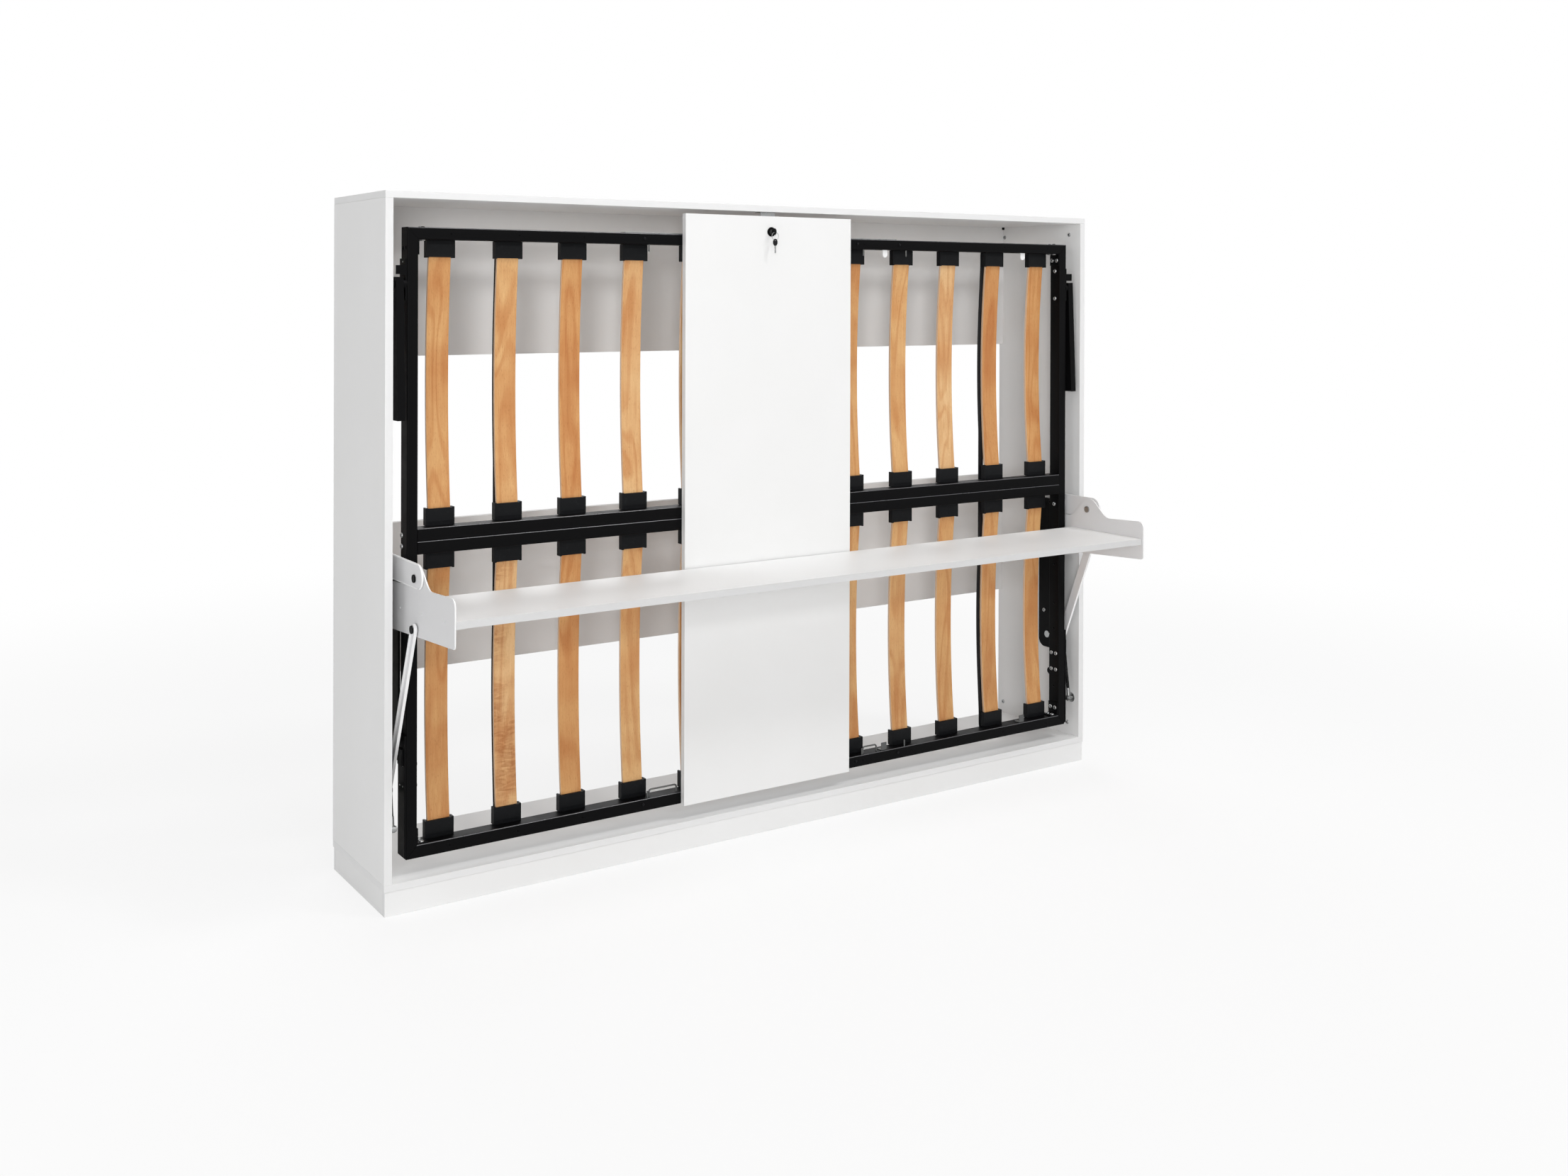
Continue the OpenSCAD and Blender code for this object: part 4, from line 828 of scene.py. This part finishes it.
def rowTree():
    # a row of one part at even spacing, turned as asked
    tree, given = newTree("evenRowTree", (("Part", "Object"), ("Count", "Int"), ("Pitch", "Float"),
                                          ("Place", "Vector"), ("Turn", "Vector"), ("Material", "Material")))
    part = addNode(tree, "GeometryNodeObjectInfo", {"Object": given["Part"]})
    turn = addNode(tree, "FunctionNodeEulerToRotation", {0: given["Turn"]})
    row = addNode(tree, "GeometryNodeInstanceOnPoints", {
        "Points": evenLine(tree, given), "Instance": part.outputs["Geometry"], "Rotation": turn})
    addNode(tree, "NodeGroupOutput", {0: dressInstances(tree, row, given["Material"])})
    return tree


def joinPieces(pieceName, parts):
    # finished pieces of one material become one
    if len(parts) > 1:
        with bpy.context.temp_override(active_object=parts[0], selected_editable_objects=parts,
                                       selected_objects=parts):
            bpy.ops.object.join()
    parts[0].name = pieceName
    parts[0].data.name = pieceName
    return parts[0]


evenRow = rowTree()
capTemplate = holderTemplate()
for pieceName, (nodeName, levels) in holder["rows"].items():
    rows = []
    for level, turn in levels:
        rows.append(growPiece(evenRow, pieceName + str(level), {
            "Part": capTemplate, "Count": slatRow["count"], "Pitch": slatRow["pitch"] * mm,
            "Place": (0, holder["frontY"] * mm, level * mm), "Turn": turn, "Material": blackMoulding}))
    caps = joinPieces(pieceName, rows)
    smoothFaces(caps)
    settle(caps, "black_plastic", nodeName)
bpy.data.objects.remove(capTemplate)
print("slats and holders made")


bolts = {
    "sides": 24, "shankSides": 12,
    "socket": 0.40, "socketDepth": 0.85,  # shares of the head's radius and height
    "rim": 0.85,                          # share of the head's radius beyond which a point is on its rim
    # profiles as (radius, height): heads one unit in radius and height, the shank one unit down from z = 0
    "button": ((0.97, 0.0), (1.0, 0.06), (1.0, 0.3), (0.93, 0.62), (0.78, 0.85), (0.58, 0.98), (0.5, 1.0)),
    "dome": ((0.97, 0.0), (1.0, 0.08), (0.97, 0.35), (0.85, 0.66), (0.62, 0.88), (0.32, 0.98), (0.1, 1.0)),
    "shank": ((0.7, -1.0), (1.0, -0.93), (1.0, 0.0)),
    # x, z and the way it looks, of each head on the frame's right half
    "tubeHeads": ((998, 1466, (1, 0, 0)), (959, 1512, (0, 0, 1)), (959, 110, (0, 0, -1))),
    "tubeHeadY": (-5.5, 12.5),
    "tubeHeadSize": (5, 2.2, 2.5, 3),  # head radius and height, shank radius and length
    "wingHead": (998, 70.5, 430),
    "wingHeadSize": (6, 3, 3, 3),
    "studShank": (1.5, 2),
}


def turnedPiece(pieceName, profile, sides, socket=()):
    # a profile turned about z; socket gives the heights of a hexagon's mouth and floor
    shape = bmesh.new()
    rings = [circleRing(shape, Vector((0, 0, height)), xAxis, yAxis, radius, sides)
             for radius, height in profile]
    for height in socket:
        ring = []
        for i in range(sides):
            angle = math.tau * i / sides
            reach = bolts["socket"] / math.cos((angle % (math.pi / 3)) - math.pi / 6)
            ring.append(shape.verts.new((reach * math.cos(angle), reach * math.sin(angle), height)))
        rings.append(ring)
    skinRings(shape, rings)
    piece = bmeshPiece(pieceName, shape)
    smoothFaces(piece)
    return piece


def headTemplate():
    # button head; faces inside its hexagon socket are marked to take a darker material, painted shade for the
    # socket's depth
    head = turnedPiece("buttonHead", bolts["button"], bolts["sides"], (1.0, 1 - bolts["socketDepth"]))
    inside = head.data.attributes.new("socket", "FLOAT", "FACE")
    for face in head.data.polygons:
        near = math.hypot(face.center.x, face.center.y) < bolts["socket"] * 1.05
        inside.data[face.index].value = float(near and face.center.z < 0.99)
    return head


def boltTree():
    # a head and a shank on every point, aimed and sized by the point's own attributes
    tree, given = newTree("boltTree", (("Head", "Object"), ("Shank", "Object"), ("Material", "Material"),
                                       ("Socket", "Material")))
    aim = addNode(tree, "GeometryNodeInputNamedAttribute", {"data_type": "FLOAT_VECTOR", "Name": "aim"})
    turn = addNode(tree, "FunctionNodeAlignRotationToVector", {"axis": "Z", "Vector": aim})
    both = addNode(tree, "GeometryNodeJoinGeometry")
    for part, sizes in (("Head", "headSize"), ("Shank", "shankSize")):
        info = addNode(tree, "GeometryNodeObjectInfo", {"Object": given[part]})
        size = addNode(tree, "GeometryNodeInputNamedAttribute", {"data_type": "FLOAT_VECTOR", "Name": sizes})
        placed = addNode(tree, "GeometryNodeInstanceOnPoints", {
            "Points": given["Geometry"], "Instance": info.outputs["Geometry"], "Rotation": turn,
            "Scale": size})
        tree.links.new(placed.outputs[0], both.inputs[0])
    skin = dressInstances(tree, both, given["Material"])
    # painted shade: faces marked as inside a socket take the darker socket material
    inside = addNode(tree, "GeometryNodeInputNamedAttribute", {"data_type": "FLOAT", "Name": "socket"})
    deep = addNode(tree, "ShaderNodeMath", {"operation": "GREATER_THAN", 0: inside, 1: 0.5})
    dark = addNode(tree, "GeometryNodeSetMaterial", {"Geometry": skin, "Selection": deep,
                                                     "Material": given["Socket"]})
    addNode(tree, "NodeGroupOutput", {0: dark})
    return tree


def boltPoints(places):
    # a place is: base of the head, way it looks, head radius, head height, shank radius, shank length
    mesh = bpy.data.meshes.new("boltPoints")
    mesh.from_pydata([Vector(place[0]) * mm for place in places], [], [])
    aims, heads, shanks = (mesh.attributes.new(label, "FLOAT_VECTOR", "POINT").data
                           for label in ("aim", "headSize", "shankSize"))
    for i, (base, way, headR, headH, shankR, reach) in enumerate(places):
        aims[i].vector = way
        heads[i].vector = (headR * mm, headR * mm, headH * mm)
        shanks[i].vector = (shankR * mm, shankR * mm, max(reach, 0.5) * mm)
    return mesh


def looseParts(shape):
    parts, seen = [], set()
    for first in shape.verts:
        if first in seen:
            continue
        seen.add(first)
        stack, part = [first], []
        while stack:
            here = stack.pop()
            part.append(here)
            fresh = [v for v in (edge.other_vert(here) for edge in here.link_edges) if v not in seen]
            seen.update(fresh)
            stack += fresh
        parts.append(part)
    return parts


def boltsOfNode(nodeName):
    # reads each CAD bolt's place, direction and sizes from its loose part
    shape = weldedCopy(nodeName)
    found = []
    for part in looseParts(shape):
        low, high = (Vector([end(v.co[k] for v in part) for k in range(3)]) / mm for end in (min, max))
        size, middle = high - low, (low + high) / 2
        axis = min(range(3), key=lambda k: abs(size[(k + 1) % 3] - size[(k + 2) % 3]))
        radius = size[(axis + 1) % 3] / 2
        rim = []  # levels of the points on the head's rim, which is wider than the shank
        for v in part:
            off = v.co / mm - middle
            off[axis] = 0
            if off.length > bolts["rim"] * radius:
                rim.append(v.co[axis] / mm)
        side = 1 if sum(rim) / len(rim) > middle[axis] else -1
        base, top, tip = (min(rim), high[axis], low[axis]) if side > 0 else (max(rim), low[axis], high[axis])
        place, way = middle.copy(), Vector((0, 0, 0))
        place[axis] = base
        way[axis] = side
        found.append((place, way, radius, abs(top - base), radius / 2, abs(base - tip)))
    shape.free()
    return found


buttonHead = headTemplate()
domeHead = turnedPiece("domeHead", bolts["dome"], bolts["sides"])
shankPart = turnedPiece("shank", bolts["shank"], bolts["shankSides"])
boltGroup = boltTree()


def boltPiece(pieceName, places, material, slotName, *cadNodes, head=None, body=None):
    parts = {"Head": head or buttonHead, "Shank": shankPart, "Material": material,
             "Socket": dullZincAndSocketShade if material == brightZinc else blackCoat}
    piece = growPiece(boltGroup, pieceName, parts, boltPoints(places))
    smoothFaces(piece, even=False)
    settle(piece, slotName, *cadNodes, body=body)


boltPiece("cabinetScrews", boltsOfNode("cabinet_screws"), brightZinc, "bright_steel", "cabinet_screws")
boltPiece("frameBolts", boltsOfNode("frame_bolts"), brightZinc, "bright_steel", "frame_bolts")
boltPiece("armBolts", boltsOfNode("arm_bolts"), blackCoat, "black_steel", "arm_bolts")
studs = [(*found[:4], *bolts["studShank"]) for found in boltsOfNode("panel_studs")]
boltPiece("panelStuds", studs, blackMoulding, "bright_steel", "panel_studs", head=domeHead)
tubeHeads = [((side * x, y, z), (side * way[0], 0, way[2]), *bolts["tubeHeadSize"])
             for side in (-1, 1) for y in bolts["tubeHeadY"] for x, z, way in bolts["tubeHeads"]]
boltPiece("frameOuterHeads", tubeHeads, blackCoat, "black_steel", body="bed", head=domeHead)
wingX, wingY, wingZ = bolts["wingHead"]
wingHeads = [((side * wingX, wingY, wingZ), (-side, 0, 0), *bolts["wingHeadSize"]) for side in (-1, 1)]
boltPiece("wingBolts", wingHeads, brightZinc, "bright_steel", body="bed")
for part in (buttonHead, domeHead, shankPart):
    bpy.data.objects.remove(part)
print("bolts made")


eachSide = ("left", "right")
pressings = {
    # piece: node, easing in mm, material, slot, and the sides where there is one on each
    "hookStrike": ("lock_strike", 0.4, brightZinc, "bright_steel", ()),
    "strutStuds": ("strut_studs", 0.5, brightZinc, "bright_steel", ()),
    "cornerBrackets": ("corner_brackets", 0.5, blackCoat, "black_steel", ()),
    "hingePlate": ("hinge_plate", 0.6, blackCoat, "black_steel", eachSide),
    "deskArm": ("desk_arm", 1.0, whiteCoat, "white_steel", eachSide),
    "deskPlate": ("desk_plate", 1.0, whiteCoat, "white_steel", eachSide),
    "link": ("link", 0.5, whiteCoat, "white_steel", eachSide),
    "leg": ("leg", 0.8, blackCoat, "black_steel", eachSide),
    "legBracket": ("leg_bracket", 0.5, blackCoat, "black_steel", eachSide),
    "topPlate": ("lock_plate", 0.5, brightZinc, "bright_steel", ()),
    "guideTabs": ("panel_tabs", 0.7, whiteMoulding, "white_plastic", ()),
    "footAngles": ("panel_angles", 0.5, greySteel, "bright_steel", ()),
}
bead = {"radius": 1.7, "proud": 1.1, "sides": 8}  # rolled round the outer face of each desk arm


def outerLoop(shape, side):
    # the outline, as (y, z), of the biggest flat face that looks outwards, and where it lies
    levels = {}
    for face in shape.faces:
        if face.normal.x * side > 0.99:
            levels.setdefault(round(face.calc_center_median().x / mm, 1), []).append(face)
    level = max(levels, key=lambda key: sum(face.calc_area() for face in levels[key]))
    chosen = set(levels[level])
    links = {}
    for face in chosen:
        for edge in face.edges:
            if sum(other in chosen for other in edge.link_faces) == 1:
                first, second = edge.verts
                links.setdefault(first, []).append(second)
                links.setdefault(second, []).append(first)
    loops, seen = [], set()
    for start in links:
        loop, here = [], start
        while here and here not in seen:
            seen.add(here)
            loop.append((here.co.y, here.co.z))
            here = next((other for other in links[here] if other not in seen), None)
        if loop:
            loops.append(loop)
    return level * mm, max(loops, key=lambda loop: max(p[0] for p in loop) - min(p[0] for p in loop))


def addBead(nodeName, piece, side):
    shape = mergedCopy(nodeName)
    level, loop = outerLoop(shape, side)
    shape.free()
    area = sum(a[0] * b[1] - b[0] * a[1] for a, b in zip(loop, loop[1:] + loop[:1]))
    if area < 0:
        loop.reverse()
    radius = bead["radius"] * mm
    middleX = level + side * (bead["proud"] * mm - radius)
    shape = bmesh.new()
    shape.from_mesh(piece.data)
    rings = []
    for i, here in enumerate(loop):
        here, before, after = Vector(here), Vector(loop[i - 1]), Vector(loop[(i + 1) % len(loop)])
        one, two = (Vector((p.y, -p.x)).normalized() for p in (before - here, here - after))
        inward = (one + two).normalized()
        centre = here + inward * radius / max(0.5, inward.dot(one))
        rings.append(circleRing(shape, Vector((middleX, *centre)), Vector((0, *inward)), side * xAxis, radius,
                                bead["sides"]))
    made = skinRings(shape, rings, around=True)
    bmesh.ops.recalc_face_normals(shape, faces=made)
    for face in made:
        face.smooth = True
    shape.to_mesh(piece.data)
    shape.free()


for label, (node, width, material, slotName, sides) in pressings.items():
    for side in sides or ("",):
        nodeName = "_".join((node, side)) if side else node
        piece = easedCopy(nodeName, label + side.title(), width)
        if label == "deskArm":
            addBead(nodeName, piece, 1 if side == "right" else -1)
        if material == whiteCoat:
            # painted highlight: the pressing's rim faces, those that don't look sideways, take the paler rim
            # coat
            paint(piece, whiteCoat, rimHighlightCoat, pick=lambda face: int(abs(face.normal.x) < 0.9))
        else:
            paint(piece, material)
        settle(piece, slotName, nodeName)


clip = {"share": (0.42, 0.25, 0.4), "easing": 0.5}  # of the CAD clip's size, kept in the same corner
clips = bmeshPiece("backBoardClips", mergedCopy("back_board_clips"))
low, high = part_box("back_board_clips")
for vertex in clips.data.vertices:
    fixed = Vector((math.copysign(high.x, vertex.co.x), high.y, high.z))
    for k in range(3):
        vertex.co[k] = fixed[k] + (vertex.co[k] - fixed[k]) * clip["share"][k]
easeEdges(clips, clip["easing"])
paint(clips, blackMoulding)
settle(clips, "black_plastic", "back_board_clips")


# bent wires beside the panel's foot, and the pins that panels hang on
wires = {"radius": 2.1, "y": -8.5, "rise": 18.5, "bend": 6.0, "bendSteps": 6, "sides": 10,
         "foot": 139.0, "topFace": 1485.0,  # faces of the bottom and the top tube that they stand on
         "into": 0.2,                       # how far they reach into the tube's wall
         "spans": ((-382.3, -306), (268, 312.3)),
         "pins": (-388, 262, 406), "pinHeight": 17, "pinY": -11.5, "pinTip": 0.6}


def bentWire(shape, left, right):
    low, top, bend = wires["foot"] - wires["into"], wires["foot"] + wires["rise"], wires["bend"]
    line = [Vector((left, wires["y"], low))]
    for x, turn in ((left + bend, math.pi), (right - bend, math.pi / 2)):
        for step in range(wires["bendSteps"] + 1):
            angle = turn - math.pi / 2 * step / wires["bendSteps"]
            line.append(Vector((x + bend * math.cos(angle), wires["y"], top - bend + bend * math.sin(angle))))
    line.append(Vector((right, wires["y"], low)))
    rings = []
    for i, place in enumerate(line):
        along = (line[min(i + 1, len(line) - 1)] - line[max(i - 1, 0)]).normalized()
        rings.append(circleRing(shape, place * mm, along.cross(yAxis), yAxis, wires["radius"] * mm,
                                wires["sides"]))
    skinRings(shape, rings)


def uprightPin(shape, x, foot, way):
    tall = wires["pinHeight"]
    rings = []
    for height, share in ((-wires["into"], 1), (tall - 1, 1), (tall, wires["pinTip"])):
        middle = Vector((x, wires["pinY"], foot + way * height)) * mm
        rings.append(circleRing(shape, middle, xAxis, yAxis, wires["radius"] * share * mm, wires["sides"]))
    skinRings(shape, rings)


wireShape = bmesh.new()
for left, right in wires["spans"]:
    bentWire(wireShape, left, right)
for x in wires["pins"]:
    uprightPin(wireShape, x, wires["foot"], 1)
    uprightPin(wireShape, x, wires["topFace"], -1)
bmesh.ops.recalc_face_normals(wireShape, faces=wireShape.faces)
footBar = bmeshPiece("footWires", wireShape)
smoothFaces(footBar, sharp=50)
paint(footBar, greySteel)
settle(footBar, "bright_steel", "panel_bar")


# nearer the middle than this the pins' bare steel shows: the fold pins' ends and the desk bolts' nuts
pivots = {"easing": 0.4, "bareWithin": {
    "pivotBaseLeft": ("pivot_base_left", 998.4), "pivotBaseRight": ("pivot_base_right", 998.4),
    "deskBolts": ("desk_bolts", 1007.5)}}
for pieceName, (nodeName, bare) in pivots["bareWithin"].items():
    piece = easedCopy(nodeName, pieceName, pivots["easing"])
    paint(piece, blackCoat, brightZinc, pick=lambda face: int(abs(face.center.x) < bare * mm))
    settle(piece, "black_steel", nodeName)
print("plates and arms made")


strut = {"lower": (-4.5, 181.0), "upper": (71.5, 745.0), "fittingEnd": 37, "easing": 0.5}
foot = Vector((0, *strut["lower"])) * mm
strutRun = (Vector((0, *strut["upper"])) * mm - foot).normalized()


def upStrut(face):
    return (Vector((0, face.center.y, face.center.z)) - foot).dot(strutRun) / mm


for side in eachSide:
    rod = easedCopy("gas_rod_" + side, "strutRod" + side.title(), strut["easing"])
    paint(rod, strutBlack, brightZinc, pick=lambda face: int(upStrut(face) < strut["fittingEnd"]))
    settle(rod, "strut_black", "gas_rod_" + side)
    barrel = easedCopy("gas_cylinder_" + side, "strutCylinder" + side.title(), strut["easing"])
    paint(barrel, strutBlack)
    settle(barrel, "strut_black", "gas_cylinder_" + side)
print("struts made")


strap = {
    "width": 18, "left": -764.05, "right": 716.05,
    "tubeBack": 23.5, "overHolder": 28.0, "crown": 40.0, "railMiddle": 813.0, "rowMiddle": 463.5,
    "bowRadius": 2826.8, "hug": 184.73, "low": 122.0, "onTube": 10,
    "holderFoot": 139.0, "holderTop": 179.0,
    "step": 6.0, "crownSteps": 12,
    # half of its section, from the outer face's middle to the inner one's: in from the edge, and height
    "edge": ((2.2, 1.3), (1.6, 1.5), (0.5, 1.5), (0, 1.1), (0, 0.4), (0.5, 0), (1.6, 0), (2.2, 0.2)),
    "outer": 1.3, "inner": 0.2,
    "softenings": 2,
}


def strapLine():
    # (y, z) of the strap's face on the frame, from the bottom tube over the slats' crowns to the top tube
    half = [(strap["tubeBack"], strap["low"]), (strap["tubeBack"], strap["low"] + strap["onTube"]),
            (strap["overHolder"], strap["holderFoot"]), (strap["overHolder"], strap["holderTop"])]
    for i in range(strap["crownSteps"] + 1):
        d = strap["hug"] * (2 * i / strap["crownSteps"] - 1)
        half.append((strap["crown"] - d * d / (2 * strap["bowRadius"]), strap["rowMiddle"] + d))
    corners = half + [(y, 2 * strap["railMiddle"] - z) for y, z in reversed(half)]
    line = []
    for (y0, z0), (y1, z1) in zip(corners, corners[1:]):
        count = max(1, round(math.hypot(y1 - y0, z1 - z0) / strap["step"]))
        line += [(y0 + (y1 - y0) * i / count, z0 + (z1 - z0) * i / count) for i in range(count)]
    line.append(corners[-1])
    for _ in range(strap["softenings"]):  # the webbing rounds each bend
        line = [line[0]] + [((a[0] + 2 * b[0] + c[0]) / 4, (a[1] + 2 * b[1] + c[1]) / 4)
                            for a, b, c in zip(line, line[1:], line[2:])] + [line[-1]]
    return line


def strapMesh(pieceName, x):
    # selvedges a little thicker than the middle
    edge = [(strap["width"] / 2 - inset, height) for inset, height in strap["edge"]]
    section = [(0, strap["outer"])] + edge + [(0, strap["inner"])] + [(-s, t) for s, t in reversed(edge)]
    shape = bmesh.new()
    run = shape.loops.layers.uv.new("strapRun")
    line = strapLine()
    rings, laid, far = [], {}, 0.0
    for i, (y, z) in enumerate(line):
        before, after = line[max(i - 1, 0)], line[min(i + 1, len(line) - 1)]
        along = Vector((0, after[0] - before[0], after[1] - before[1])).normalized()
        out = Vector((0, along.z, -along.y))
        if i:
            far += math.hypot(y - line[i - 1][0], z - line[i - 1][1])
        ring = [shape.verts.new((Vector((x + s, y, z)) + out * t) * mm) for s, t in section]
        for corner, (s, t) in zip(ring, section):
            laid[corner] = (s * mm, far * mm)
        rings.append(ring)
    for face in skinRings(shape, rings):
        for loop in face.loops:
            loop[run].uv = laid[loop.vert]
    return bmeshPiece(pieceName, shape)


for side in eachSide:
    band = strapMesh("mattressStrap" + side.title(), strap[side])
    smoothFaces(band, sharp=60)
    paint(band, strapWebbing)
    settle(band, "webbing", "mattress_strap_" + side)
print("straps made")


lock = {"x": -46, "z": 1523.5, "hangY": -51.0, "hangZ": 1522.1,  # the lock's axis, and where the ring hangs
        "barrelEasing": 0.5, "coreEasing": 0.3,
        "bowY": -46.5, "bowRadius": 9, "bowThick": 2.8, "bowSides": 40, "bowEasing": 0.45, "square": 0.05,
        "bowHole": 2.5, "bowHoleOut": 4.5, "bowHoleDeep": 8, "bladeEasing": 0.2,
        "root": 6, "tip": -27.0,  # the blade starts this far behind the bow's middle, and its tip's y
        "spareHole": 1.0, "spareRoot": 10.7, "spareTip": 32.2,  # below the ring, and below the spare's hole
        "blade": 5, "thick": 2, "cuts": (0, 0, 0, 0, 0.4, 0.4, 1.5, 1.5, 0.8, 0.8, 1.3, 0.3),
        "tipBelow": 1.5, "tipAbove": 2.2,  # what the blade's tip is cut back, below and above
        "wire": 0.8, "wireRadius": 0.45, "wireSides": 10, "ringRadius": 10, "turns": 1.9, "startTurn": 0.31,
        "ringSteps": 96}

barrel = easedCopy("lock_barrel", "lockBarrel", lock["barrelEasing"])
paint(barrel, blackCoat)
settle(barrel, "black_steel", "lock_barrel")
core = easedCopy("lock_cam", "lockCore", lock["coreEasing"])
paint(core, dullZincAndSocketShade)
settle(core, "bright_steel", "lock_cam")


def keyPart(pieceName, outline, thick, material, easing, segments, hole=None):
    # a flat part of a key, standing across the lock's x, from an outline of (y, z)
    piece = prism(pieceName, outline, 0, lock["x"] - thick / 2, lock["x"] + thick / 2)
    if hole:
        drill(piece, [((lock["x"], *hole), 0, lock["bowHole"], lock["bowHoleDeep"])], sides=20)
    easeEdges(piece, easing, segments)
    paint(piece, material)
    slotName = "black_plastic" if hole else "bright_steel"
    settle(piece, slotName, "spare_key" if "spare" in pieceName else "lock_key")


def keyBow(pieceName, y, z, hole):
    # grip moulded over the key, a little squared, with the ring's hole
    outline = []
    for i in range(lock["bowSides"]):
        angle = math.tau * i / lock["bowSides"]
        reach = lock["bowRadius"] * (1 - lock["square"] * math.cos(4 * angle) ** 2)
        outline.append((y + reach * math.cos(angle), z + reach * math.sin(angle)))
    keyPart(pieceName, outline, lock["bowThick"], blackMoulding, lock["bowEasing"], 2, hole)


def keyBlade(pieceName, root, tip, hangs):
    # flat blade with its cuts on one edge, from root to tip along y, or along z where the key hangs
    half, cuts, length = lock["blade"] / 2, lock["cuts"], tip - root
    below, above = lock["tipBelow"], lock["tipAbove"]
    outline = [(root, -half), (tip - math.copysign(below, length), -half), (tip, -half + below),
               (tip, half - above)]
    outline += reversed([(root + length * i / len(cuts), half - cut) for i, cut in enumerate(cuts)])
    if hangs:
        places = [(lock["hangY"] + b, a) for a, b in outline]
    else:
        places = [(a, lock["z"] + b) for a, b in outline]
    keyPart(pieceName, places, lock["thick"], brightZinc, lock["bladeEasing"], 1)


keyBow("keyBowInLock", lock["bowY"], lock["z"], (lock["bowY"] - lock["bowHoleOut"], lock["z"]))
keyBlade("keyBladeInLock", lock["bowY"] + lock["root"], lock["tip"], False)
spareHole = lock["hangZ"] - 2 * lock["ringRadius"] - lock["spareHole"]
keyBow("spareKeyBow", lock["hangY"], spareHole - lock["bowHoleOut"], (lock["hangY"], spareHole))
keyBlade("spareKeyBlade", spareHole - lock["spareRoot"], spareHole - lock["spareTip"], True)


def splitRing():
    # spring-steel split ring: nearly two turns of wire side by side
    shape = bmesh.new()
    rings = []
    centre = Vector((lock["x"], lock["hangY"], lock["hangZ"] - lock["ringRadius"]))
    radius = lock["wireRadius"]
    for i in range(lock["ringSteps"] + 1):
        part = i / lock["ringSteps"]
        angle = math.tau * (lock["turns"] * part + lock["startTurn"])
        out = Vector((math.sin(angle), 0, math.cos(angle)))
        shift = yAxis * (part - 0.5) * 2 * (lock["wire"] - radius)
        middle = (centre + out * lock["ringRadius"] + shift) * mm
        rings.append(circleRing(shape, middle, out, yAxis, radius * mm, lock["wireSides"]))
    skinRings(shape, rings)
    return bmeshPiece("keySplitRing", shape)


ring = splitRing()
smoothFaces(ring, sharp=60)
paint(ring, brightZinc)
settle(ring, "bright_steel", "key_ring")
print("lock and keys made")
